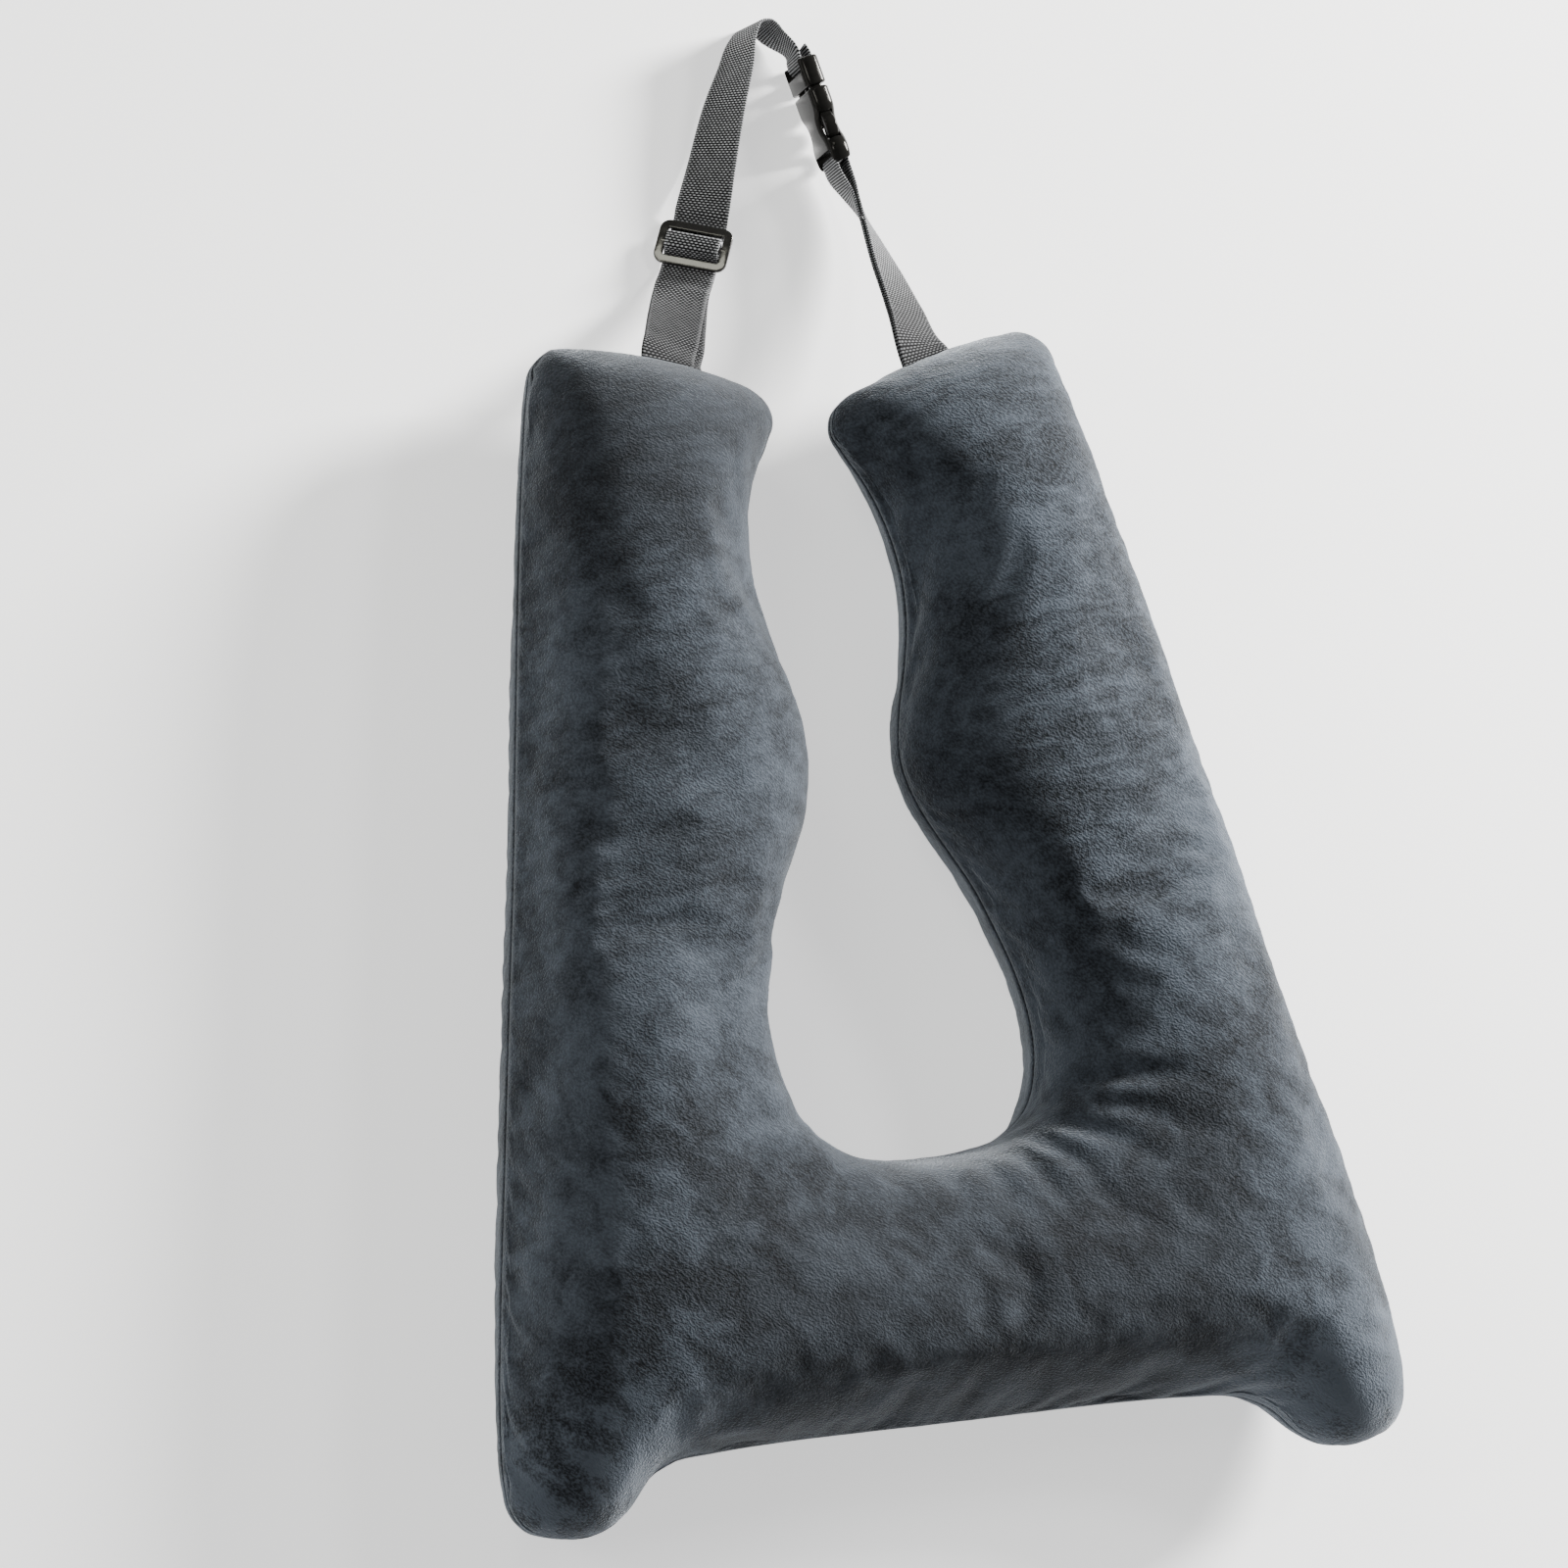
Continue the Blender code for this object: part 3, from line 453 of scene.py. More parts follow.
def blow_up(obj, held):
    """Run Blender's cloth with pressure and no gravity, and return where its points end."""
    group = obj.vertex_groups.new(name="held")
    group.add(np.flatnonzero(held).tolist(), 1.0, "REPLACE")
    cloth = obj.modifiers.new("Filling", "CLOTH")
    settings = cloth.settings
    settings.quality = 4
    settings.mass = 0.3
    settings.tension_stiffness = settings.compression_stiffness = 18
    settings.shear_stiffness = 6
    settings.bending_stiffness = 0.4
    settings.use_pressure = True
    settings.uniform_pressure_force = PRESSURE
    settings.vertex_group_mass = "held"
    settings.shrink_min = -0.012
    settings.effector_weights.gravity = 0.0
    cloth.collision_settings.use_collision = False
    scene = bpy.context.scene
    for number in range(1, FRAMES + 1):
        scene.frame_set(number)
    graph = bpy.context.evaluated_depsgraph_get()
    blown = points_of(obj.evaluated_get(graph).to_mesh())
    obj.modifiers.remove(cloth)
    obj.vertex_groups.remove(group)
    scene.frame_set(1)
    return blown


start = points_of(cushion.data)
held = (twice < rim_count * np.where(is_upper, 1, HELD_ROWS)) | lying
moved = blow_up(cushion, held) - start
length = np.linalg.norm(moved, axis=1, keepdims=True)
limit = np.where(is_upper, MAX_MOVE, MAX_MOVE_BELOW)[:, None] * MM
moved *= np.minimum(1, limit / np.maximum(length, TINY))
put_points(cushion.data, start + moved)
print(f"the cloth moved up to {length.max() / MM:.1f} mm before the cap")

# %% [markdown]
# ## Creases
#
# Creases in a stuffed toy or pillow come from its seam: where the seam bends inwards, the cloth
# beside it has too little length and pulls the filling down in fans of folds. The main ones are
# listed in a table. Small puckers run across the seam all the way round, and they come
# from a sum of waves along it that fades out with the distance from it.

# %% Table of creases
CREASES = [
    # start x, y, end x, y, half width, depth
    (61, 171, 124, 166, 4.0, 4.0),
    (57, 163, 112, 147, 3.8, 2.4),
    (51, 157, 95, 131, 4.2, 2.6),
    (42, 151, 68, 115, 4.0, 1.7),
    (30, 147, 45, 110, 4.4, 1.7),
    (14, 144, 20, 112, 4.6, 1.1),
    (-4, 143, -6, 114, 5.0, 0.9),
    (-62, 172, -104, 166, 4.6, 2.4),
    (-57, 163, -88, 149, 4.2, 1.4),
    (-48, 155, -74, 131, 5.2, 1.6),
    (-30, 147, -40, 117, 5.0, 1.0),
    (208, 44, 180, 50, 3.6, 1.8),
    (210, 56, 188, 60, 3.4, 1.1),
    (206, 30, 186, 28, 3.6, 1.0),
    (-208, 44, -186, 48, 3.6, 1.2),
    (150, 36, 158, 60, 5.0, 1.0),
    (-150, 36, -157, 58, 5.0, 1.0),
    (40, 405, 62, 400, 5.0, 1.0),
    (-40, 405, -60, 399, 5.0, 0.9),
    (24, 478, 48, 470, 5.0, 1.2),
    (-24, 480, -46, 473, 5.0, 1.0),
]
print(len(CREASES), "creases")

# %% Creases and puckers
BEND = 0.06                                 # of a crease, as a share of its length
ROLL_HEIGHT, ROLL_AT = 0.35, 1.9            # in shares of its depth and of its half width
PUCKER_HEIGHT, PUCKER_TOP, PUCKER_FADE = 0.22, 7.0, 13.0
OUT_OF_STEP = 31                            # mm between the upper and the lower panel's puckers


def crease_depth(points):
    """Troughs with a soft start and a long tail, and a low roll of cloth on both sides.

    Across a crease the depth is a bell curve less a lower one on each side. Along it the depth
    is eased in and out, and the line bends by half a sine wave.
    """
    depth = np.zeros(len(points))
    for x0, y0, x1, y1, half, deep in CREASES:
        begin, run = np.array([x0, y0], float), np.array([x1 - x0, y1 - y0], float)
        length = np.linalg.norm(run)
        run /= length
        offset = points[:, :2] - begin
        along = offset @ run / length
        bend = BEND * length * np.sin(math.pi * np.clip(along, 0, 1))
        across = (offset @ np.array([-run[1], run[0]]) - bend) / half
        fade = smoothstep(along, -0.15, 0.12) * (1 - smoothstep(along, 0.3, 1.1))
        rolls = ROLL_HEIGHT * np.exp(-(np.abs(across) - ROLL_AT) ** 2)
        depth += deep * fade * (np.exp(-across ** 2) - rolls)
    return depth


def pucker(place, away):
    """A sum of sine waves along the seam, stronger in some stretches than in others.

    It grows up to PUCKER_TOP mm from the seam and falls to about a third every PUCKER_FADE mm.
    """
    turn = 2 * math.pi * place / seam_length
    waves = (np.sin(97 * turn + 2.1 * np.sin(7 * turn)) + 0.8 * np.sin(151 * turn + 1.3)
             + 0.7 * np.sin(61 * turn + 2.7 * np.sin(5 * turn + 1)))
    strength = 0.55 + 0.45 * np.sin(11 * turn + 0.6) * np.sin(4 * turn)
    attenuation = np.exp(-np.maximum(away - PUCKER_TOP, 0) / PUCKER_FADE)
    return waves * strength * smoothstep(away, 0.2, PUCKER_TOP) * attenuation


deepest = crease_depth(flat).max()
print(f"the deepest crease is {deepest:.1f} mm")

# %% [markdown]
# Both are worked into the cushion's mesh, which is then made finer. The folds have to be real
# geometry, because they change the pillow's outline and the way that light falls across it.

# %% Creased and finer cushion


def crease_cushion():
    """Move each point along its normal by the puckers' height less the creases' depth.

    The groove's depth and the place along the seam are kept for the plush, which draws the
    stitches with them.
    """
    mesh = cushion.data
    points = points_of(mesh)
    normals = np.empty(len(points) * 3)
    mesh.vertices.foreach_get("normal", normals)
    normals = normals.reshape(-1, 3)
    away, place, at = from_seam[twice], along_seam[twice], flat[twice]
    rise = PUCKER_HEIGHT * pucker(place + np.where(is_upper, 0, OUT_OF_STEP), away)
    rise -= np.where(is_upper, crease_depth(at) * smoothstep(away, 1.0, 12.0), 0.0)
    points = points + normals * rise[:, None] * MM
    points[:, 2] = np.maximum(points[:, 2], 0.0)
    points[lying, 2] = 0.0
    put_points(mesh, points)
    rows_off = np.abs(twice // rim_count - SEAM_ROW)
    groove = np.select([is_upper, rows_off == 0, rows_off == 1], [0.0, 1.0, 0.5])
    point_attribute(mesh, "groove", groove)
    point_attribute(mesh, "along_seam", place)


def subdivided(obj):
    """Work one level of subdivision into the mesh, which rounds the facets and the groove."""
    finer = obj.modifiers.new("Finer", "SUBSURF")
    finer.levels = finer.render_levels = 1
    graph = bpy.context.evaluated_depsgraph_get()
    mesh = bpy.data.meshes.new_from_object(obj.evaluated_get(graph))
    obj.modifiers.clear()
    obj.data = mesh
    mesh.shade_smooth()


crease_cushion()
subdivided(cushion)
print("cushion:", len(cushion.data.polygons), "faces")

# %% [markdown]
# ## The webbing's route
#
# The strap is 25 mm polyester webbing. On the left it is doubled: one layer comes from the seam,
# passes behind the slider's lower bar, over its middle bar and behind its upper bar, and the
# other turns back round the middle bar. Past the slider the single layer stands up on its edge,
# bends round at the far end and folds round the bar of the buckle's plug. On the right, a short
# doubled piece comes from the other seam and folds round the socket's bar.
#
# A band is a path of centres with a width direction at each, so the tables hold x, y, z and the
# roll of the band in degrees. The route is drawn and not simulated, because a strap of this
# stiffness holds the twists that it was laid down with.

# %% Route tables
WEBBING_THICKNESS = 1.4
LAYER_STEP = 1.9         # from the middle of one layer to the middle of the next
TURN_RADIUS = 2.65       # of the webbing's middle round a bar of the buckle
TAIL_LENGTH = 6.0        # of the fold past the plug's bar; the photograph shows none of it
# The buckle stands on its narrow side. It is placed by the split between plug and socket.
BUCKLE_LEAN, BUCKLE_HEADING, BUCKLE_SPLIT = 14.0, -78.1, (45.2, 642.4, 17.3)
SPLIT_GAP, PLUG_LENGTH, SOCKET_LENGTH, BAR_WIDTH = 1.3, 13.5, 35.0, 2.4
PLUG_BAR = -SPLIT_GAP / 2 - PLUG_LENGTH + BAR_WIDTH / 2      # the bars' places past the split
SOCKET_BAR = SPLIT_GAP / 2 + SOCKET_LENGTH - BAR_WIDTH / 2
SLIDER_CENTRE, SLIDER_HEADING, SLIDER_ROLL = (-23.0, 575.0, 11.4), 65.0, 32.0
SLIDER_DEPTH, SLIDER_REACH, PLAY = 2.6, 11.5, 0.35           # thickness, straight run, play
LAYER_SPREAD = 4.8       # mm by which the second layer stands aside at the seam
LONG_LOWER = [
    (-62.1, 512.3, 44.1, 0), (-60.7, 517.2, 43.2, 6), (-53.8, 527.5, 36.4, 18),
    (-43.8, 541, 24.6, 27), (-34.4, 554.5, 14.8, 32),
]
LONG_UPPER = [
    (-8.4, 609.3, 11.5, 50), (4.1, 640.5, 12.3, 64), (11.7, 656.2, 12.6, 73),
    (18.2, 670.8, 12.8, 84), (22.0, 675.0, 12.8, 87), (27.2, 675.2, 12.9, 88),
    (32.6, 670.2, 13.6, 87),
]
LOOP_PATH = [
    (68.5, 509.1, 43.0, 180), (67.3, 513.6, 42.3, 173), (66.8, 534.9, 33.6, 154),
    (64.9, 558.0, 25, 140), (60.2, 584.5, 18.9, 118), (57.0, 594.5, 17.7, 108),
]
# Along the strap from the slider's middle, and how far behind it the long webbing runs
THREADING = [
    (-60.0, 0.0), (-16.0, 1.6), (-11.5, 2.4), (-8.4, 2.5), (-6.0, 2.45), (-3.1, -4.25),
    (0.0, -4.6), (3.1, -4.25), (6.0, 2.45), (8.4, 2.5), (11.5, 2.4), (17.0, 0.0),
]
STEEP = 3.0              # mm: a bigger change between two rows is a straight slope
print(len(LONG_LOWER) + len(LONG_UPPER), "rows on the left,", len(LOOP_PATH), "on the right")

# %% Directions of the slider and the buckle


def direction(heading):
    """A level unit vector at this many degrees from X: the cosine and the sine."""
    return np.array([math.cos(math.radians(heading)), math.sin(math.radians(heading)), 0.0])


def buckle_axes():
    """Width, axis and depth directions of the buckle, which stands on its narrow side.

    The width is upright but for the lean, and the depth is the width crossed with the axis.
    """
    axis = direction(BUCKLE_HEADING)
    level = np.cross(axis, (0.0, 0.0, 1.0))
    lean = math.radians(BUCKLE_LEAN)
    width = math.cos(lean) * np.array([0, 0, 1.0]) + math.sin(lean) * level
    return width, axis, np.cross(width, axis)


def slider_axes():
    """Width and axis directions of the slider, and the one that points behind it.

    The width is level but for the roll, and behind is the axis crossed with the width.
    """
    axis = direction(SLIDER_HEADING)
    level = np.cross(axis, (0.0, 0.0, 1.0))
    roll = math.radians(SLIDER_ROLL)
    width = math.cos(roll) * level + math.sin(roll) * np.array([0, 0, 1.0])
    return width, axis, np.cross(axis, width)


width, axis, _ = buckle_axes()
print("buckle's axis", axis.round(3), "and width", width.round(3))

# %% Depths and directions along the route


def slider_path(steps):
    """Points on the slider's axis, this many millimetres from its middle."""
    return np.array(SLIDER_CENTRE) + np.array(steps)[:, None] * slider_axes()[1]


def threaded(marks):
    """Depth behind the slider's middle.

    Between two rows of the table it follows half a cosine wave, or a straight slope where the
    webbing dives through the slider.
    """
    table = np.array(THREADING)
    index = np.clip(np.searchsorted(table[:, 0], marks) - 1, 0, len(table) - 2)
    start, end = table[index], table[index + 1]
    t = np.clip((marks - start[:, 0]) / (end[:, 0] - start[:, 0]), 0, 1)
    steep = np.abs(end[:, 1] - start[:, 1]) > STEEP
    eased = np.where(steep, t, 0.5 - 0.5 * np.cos(math.pi * t))
    inside = (marks >= table[0, 0]) & (marks <= table[-1, 0])
    return np.where(inside, start[:, 1] + (end[:, 1] - start[:, 1]) * eased, 0.0)


def band_frames(path, rolls):
    """Width directions and normals along a path.

    The path's direction crossed with Z is the level width. The roll turns it about the path and
    so lifts the band's right edge. The normal is the path's direction crossed with the width.
    """
    along = unit(np.gradient(path, axis=0))
    level = unit(np.cross(along, (0.0, 0.0, 1.0)))
    upward = np.cross(level, along)
    roll = np.radians(rolls)[:, None]
    width = np.cos(roll) * level + np.sin(roll) * upward
    return width, np.cross(along, width)


def resample(path, step, *others):
    """The path at even steps, the length along it, and other columns carried along."""
    length = np.concatenate([[0], np.cumsum(np.linalg.norm(np.diff(path, axis=0), axis=1))])
    marks = np.linspace(0, length[-1], max(int(round(length[-1] / step)), 2) + 1)

    def even(values):
        """These columns, read at the even marks."""
        values = values.reshape(len(length), -1)
        columns = [np.interp(marks, length, values[:, axis]) for axis in range(values.shape[1])]
        return np.column_stack(columns)

    return even(path), marks, *[even(values) for values in others]


def turn_round(centre, along, normal, depth, reach=TURN_RADIUS, steps=17):
    """Half an ellipse round a bar, from the side that the normal points to, to the other."""
    angle = np.linspace(0, math.pi, steps)[1:-1, None]
    return centre + normal * depth * np.cos(angle) + along * reach * np.sin(angle)


# %% [markdown]
# ## Three bands
#
# All three bands follow the same recipe: a middle line, offset to one or two layers along its
# normals, with a half turn round each bar. A doubled band is one closed form that turns back on
# itself, as a real length of webbing does, and not two strips.

# %% Helpers for centre lines
LEVEL_FROM, LEVEL_TO = 22.0, 12.0           # mm from the slider, where the band comes level
BAR_LEAD, BAR_TWIST = 5.0, 14.0             # mm before a bar: a row of the route, and the twist
LEFT_STEP, RIGHT_STEP = 0.6, 1.0            # mm between points of the routes


def left_line(upper=()):
    """The left route: points, width directions, normals, place past the slider, and length.

    It runs through the table's rows, on the slider's axis near the slider, and then `upper`.
    """
    width, axis, behind = slider_axes()
    straight = slider_path([-SLIDER_REACH, 0.0, SLIDER_REACH])
    middle = np.column_stack([straight, np.full(3, SLIDER_ROLL)])
    rows = [np.array(LONG_LOWER, float), middle] + ([np.array(upper)] if len(upper) else [])
    rows = smooth_curve(np.vstack(rows), 12)
    path, marks, rolls = resample(rows[:, :3], LEFT_STEP, rows[:, 3])
    near = (path - SLIDER_CENTRE) @ axis
    level = (1 - smoothstep(np.abs(near), LEVEL_TO, LEVEL_FROM))[:, None]
    path = path * (1 - level) + slider_path(near) * level
    widths, normals = band_frames(path, rolls[:, 0])
    widths = unit(widths * (1 - level) + width * level)
    normals = unit(normals * (1 - level) + behind * level)
    return path, widths, normals, near, marks


def bar_rows(past_split, roll):
    """A bar's middle, so far past the split on the buckle's axis, and the route's last rows."""
    axis = buckle_axes()[1]
    bar = np.array(BUCKLE_SPLIT) + axis * past_split
    lead = bar + axis * math.copysign(BAR_LEAD, past_split)
    return bar, np.array([np.append(lead, roll), np.append(bar, roll)])


def twisted(widths, to_bar):
    """Width directions that turn into the buckle's own just before its bar."""
    blend = smoothstep(to_bar, BAR_TWIST, 0.0)[:, None]
    return unit(widths * (1 - blend) + buckle_axes()[0] * blend)


def half_gap(to_bar, apart_from):
    """Half the distance between two layers, which opens to a bar's turn towards the bar."""
    half_step = LAYER_STEP / 2
    return half_step + (TURN_RADIUS - half_step) * smoothstep(to_bar, apart_from, 1.0)


def repeated(direction, around):
    """One direction, repeated for each point of a turn."""
    return np.repeat(direction[None], len(around), 0)


bar, _ = bar_rows(PLUG_BAR, 90 - BUCKLE_LEAN)
print("the plug's bar is at", bar.round(1))

# %% Centre lines of the bands


def long_band():
    """The long webbing: the left route to the plug's bar, half a turn, and the short tail."""
    width, axis, _ = buckle_axes()
    bar, last = bar_rows(PLUG_BAR, 90 - BUCKLE_LEAN)
    path, widths, normals, near, marks = left_line(np.vstack([np.array(LONG_UPPER), last]))
    to_bar = marks[-1] - marks
    widths = twisted(widths, to_bar)
    doubled = half_gap(to_bar, 13.0)
    fade = smoothstep(to_bar, TAIL_LENGTH + 14, TAIL_LENGTH)
    first = path + normals * (doubled * fade + threaded(near))[:, None]
    back = to_bar <= TAIL_LENGTH
    tail = (path - normals * doubled[:, None])[back][::-1]
    around = turn_round(bar, axis, normals[-1], TURN_RADIUS)
    spread = np.vstack([widths, repeated(width, around), widths[back][::-1]])
    return np.vstack([first, around, tail]), spread


def return_band():
    """The second layer on the left: behind the long one, then round the slider's middle bar.

    `near` runs from about -73 at the seam, past -9 behind the lower bar, to 0 on the middle bar.
    """
    path, widths, normals, near, _ = left_line()
    width, axis, behind = slider_axes()
    depth = SLIDER_DEPTH / 2 + WEBBING_THICKNESS / 2 + 2 * PLAY
    apart = 0.4 * (1 - smoothstep(near, -14, -7))
    apart += 0.9 * smoothstep(near, -73, -64) * (1 - smoothstep(near, -35, -20))
    over_bar = smoothstep(near, -6.5, -2.2)
    inside = depth + LAYER_STEP * (1 - over_bar)
    second = np.where(near < -6.5, threaded(near) + LAYER_STEP + apart, inside)
    aside = LAYER_SPREAD * (1 - smoothstep(near, -75, -12))
    centre = path + normals * second[:, None] + widths * aside[:, None]
    before = near <= -0.5
    around = turn_round(np.array(SLIDER_CENTRE), axis, behind, depth, 2.9)
    end = slider_path([-0.5]) - behind * depth
    spread = np.vstack([widths[before], repeated(width, around), width])
    return np.vstack([centre[before], around, end]), spread


def loop_band():
    """The right webbing: out to the socket's bar, half a turn, and back beside itself."""
    width, axis, _ = buckle_axes()
    bar, last = bar_rows(SOCKET_BAR, 90 + BUCKLE_LEAN)
    rows = smooth_curve(np.vstack([np.array(LOOP_PATH), last]), 10)
    path, marks, rolls = resample(rows[:, :3], RIGHT_STEP, rows[:, 3])
    to_bar = marks[-1] - marks
    widths, normals = band_frames(path, rolls[:, 0])
    widths = twisted(widths, to_bar)
    apart = normals * half_gap(to_bar, 22.0)[:, None]
    around = turn_round(bar, -axis, normals[-1], TURN_RADIUS)
    spread = np.vstack([widths, repeated(width, around), widths[::-1]])
    return np.vstack([path + apart, around, (path - apart)[::-1]]), spread


routes = [long_band(), return_band(), loop_band()]
print("points on the routes:", [len(centre) for centre, _ in routes])

# %% [markdown]
# ## Closed forms from rings
#
# Everything else is a loft: rings of points one behind the other, joined by quads. Its faces have
# to point outwards, so the mesh has its normals worked out again once it is closed.

# %% Lofts


def loft(rings, closed=False):
    """Quads between rings of points; flat caps close the first and last unless it is a hoop."""
    count, size = rings.shape[:2]
    i, k = np.meshgrid(np.arange(count if closed else count - 1), np.arange(size), indexing="ij")
    j, below = (k + 1) % size, (i + 1) % count
    faces = np.stack([i * size + k, i * size + j, below * size + j, below * size + k], 2)
    faces = faces.reshape(-1, 4).tolist()
    if not closed:
        faces += [list(range(size))[::-1], list(range((count - 1) * size, count * size))]
    return rings.reshape(-1, 3), faces


def closed_object(name, points, faces):
    """An object from points in millimetres, with all faces turned outwards."""
    mesh = bpy.data.meshes.new(name)
    mesh.from_pydata(placed(points).tolist(), [], faces)
    work = bmesh.new()
    work.from_mesh(mesh)
    bmesh.ops.recalc_face_normals(work, faces=work.faces)
    work.to_mesh(mesh)
    work.free()
    return new_object(name, mesh)


# %% [markdown]
# ## Woven relief
#
# Webbing is woven on a narrow loom: thick weft threads make a rib across the band every 1.2 mm,
# and the warp covers each rib but for twelve floats, which step by half a place from rib to rib
# like bricks. The relief is a product of a cosine along the band and one across it, worked out
# at every point of a fine grid. Single threads would show no more from here, and would take
# millions of faces. The grid's counts of columns and rows are kept as UV, so the colour of the
# threads follows the same bricks.

# %% Woven bands
COLUMNS = 12             # floats across the band
ROW_PITCH = 1.2          # mm from rib to rib
FACE_WIDTH = 24.4        # of the 25 mm; the rest is the selvedge
RELIEF = 0.22            # mm from the top of a float to the valley between two ribs
SELVEDGE_OUT, SELVEDGE_UP = (0.204, 0.289, 0.204), (0.42, 0.0, -0.42)


def float_height(across, along):
    """0 between the ribs, 1 on top of a float. across counts columns, along counts rows.

    A raised cosine along times a share of one across, which is half a column on in odd rows.
    """
    brick = 0.5 - 0.5 * np.cos(2 * math.pi * (across + 0.5 * (np.floor(along) % 2)))
    rib = 0.5 - 0.5 * np.cos(2 * math.pi * along)
    return rib * (0.45 + 0.55 * brick)


def woven_band(name, centre, spread):
    """A closed band whose two faces carry the floats, with a rounded selvedge on each side.

    Each ring goes over the upper face, round one selvedge, back below and round the other. The
    rings are joined from the last to the first, which makes their quads face outwards.
    """
    path, marks, spread = resample(centre, ROW_PITCH / 3, spread)
    along = unit(np.gradient(path, axis=0))
    widths = unit(spread - (spread * along).sum(1, keepdims=True) * along)
    depths = np.cross(along, widths)
    places = np.arange(COLUMNS * 2 + 1) / 2
    across = (places / COLUMNS - 0.5) * FACE_WIDTH
    float_top = float_height(places[None], marks[:, None] / ROW_PITCH)
    height = WEBBING_THICKNESS / 2 - RELIEF * (1 - float_top)
    side = np.array(SELVEDGE_OUT) + FACE_WIDTH / 2
    tall = np.broadcast_to(SELVEDGE_UP, (len(path), 3))
    xs = np.concatenate([across, side, across[::-1], -side[::-1]])
    zs = np.hstack([height, tall, -height[:, ::-1], -tall[:, ::-1]])
    rings = path[:, None] + widths[:, None] * xs[None, :, None] + depths[:, None] * zs[..., None]
    obj = closed_object(name, *loft(rings[::-1]))
    obj.data.shade_smooth()
    corners = np.empty(len(obj.data.loops), dtype=np.int32)
    obj.data.loops.foreach_get("vertex_index", corners)
    ring, n = np.divmod(corners, len(xs))
    us = np.concatenate([places, np.full(3, COLUMNS + 0.5), places[::-1], np.full(3, -0.5)])
    weave = np.column_stack([us[n], marks[::-1][ring] / ROW_PITCH])
    layer = obj.data.uv_layers.new(name="weave")
    layer.data.foreach_set("uv", weave.astype(np.float32).ravel())
    print(f"{name}: {marks[-1]:.0f} mm long, {len(obj.data.polygons)} faces")
    return obj, marks[-1] * MM


webbing_long, long_length = woven_band("strap_long", *routes[0])
webbing_return, return_length = woven_band("strap_return", *routes[1])
webbing_loop, loop_length = woven_band("strap_loop", *routes[2])

# %% [markdown]
# ## Slider and buckle
#
# The hard parts are moulded. Each is drawn lying flat, with X across the webbing, Y along it and
# Z through it, and is then turned into its place. A moulding has no sharp corners, so its
# sections are rounded rectangles and its flat plates have rounded rims. The hollow for the
# prongs and the gap for the webbing are cut out last, as a core does in the mould.

# %% Rounded outlines and bars


def rounded_outline(a, b, radius, steps=6):
    """Points and normals of a rounded rectangle with half sizes a and b: four quarter circles."""
    points, normals = [], []
    for quarter, (x, y) in enumerate(((1, 1), (-1, 1), (-1, -1), (1, -1))):
        angle = np.linspace(0, math.pi / 2, steps + 1) + quarter * math.pi / 2
        normal = np.column_stack([np.cos(angle), np.sin(angle)])
        points.append((x * (a - radius), y * (b - radius)) + radius * normal)
        normals.append(normal)
    return np.vstack(points), np.vstack(normals)


def hoop(path, outward, half, deep, edge):
    """A bar carried round a closed path; its section is a rounded rectangle, half by deep."""
    section, _ = rounded_outline(half, deep, edge, 5)
    flat = path[:, None] + outward[:, None] * section[None, :, :1]
    return loft(np.dstack([flat, np.broadcast_to(section[:, 1], flat.shape[:2])]), closed=True)


def rod(length, at_y, half, deep, sides=20, power=0.8):
    """A straight bar along X, centred at at_y, half by deep in section.

    The section is an ellipse whose cosine and sine are raised to a power, which squares it.
    """
    angle = np.arange(sides) * 2 * math.pi / sides
    y = at_y + half * np.sign(np.cos(angle)) * np.abs(np.cos(angle)) ** power
    z = deep * np.sign(np.sin(angle)) * np.abs(np.sin(angle)) ** power
    ends = np.array([-length / 2, length / 2])
    return loft(np.stack([np.column_stack([np.full(sides, x), y, z]) for x in ends]))


print("a rounded rectangle has", len(rounded_outline(2, 1, 0.5)[0]), "points")

# %% Blocks and plates


def body(stations, deep, radius, rim=1.1):
    """A block along Y: a rounded rectangle at each station, which is y and its half width.

    At both ends the rectangle shrinks along a quarter circle, which rounds the rim.
    """
    turn = np.radians([0, 18, 36, 54, 72, 90])
    steps, insets = rim * (1 - np.cos(turn)), rim * (1 - np.sin(turn))
    first, last = stations[0, 0], stations[-1, 0]
    inner = stations[(stations[:, 0] > first + rim) & (stations[:, 0] < last - rim), 0]
    ys = np.concatenate([first + steps, inner, (last - steps)[::-1]])
    inset = np.concatenate([insets, np.zeros(len(inner)), insets[::-1]])
    rings = []
    for y, less in zip(ys, inset):
        half = np.interp(y, stations[:, 0], stations[:, 1]) - less
        outline, _ = rounded_outline(half, deep - less, max(radius - less, 0.3))
        rings.append(np.column_stack([outline[:, 0], np.full(len(outline), y), outline[:, 1]]))
    return loft(np.stack(rings)[:, ::-1])


def plate(outline, deep, rim=0.9):
    """A flat plate of half thickness deep with a quarter-round rim."""
    inside = inward(outline)
    turn = np.radians([0, 22, 45, 67, 90])
    insets, levels = rim * (1 - np.sin(turn)), deep - rim * (1 - np.cos(turn))
    insets, levels = np.r_[insets, insets[::-1]], np.r_[-levels, levels[::-1]]
    rings = [np.column_stack([outline + inside * inset, np.full(len(outline), level)])
             for inset, level in zip(insets, levels)]
    return loft(np.stack(rings))


def block(x, y, z):
    """A plain box between pairs of coordinates."""
    corners = np.array([(x[0], z[0]), (x[1], z[0]), (x[1], z[1]), (x[0], z[1])])
    rings = [np.column_stack([corners[:, 0], np.full(4, at), corners[:, 1]]) for at in y]
    return loft(np.stack(rings))


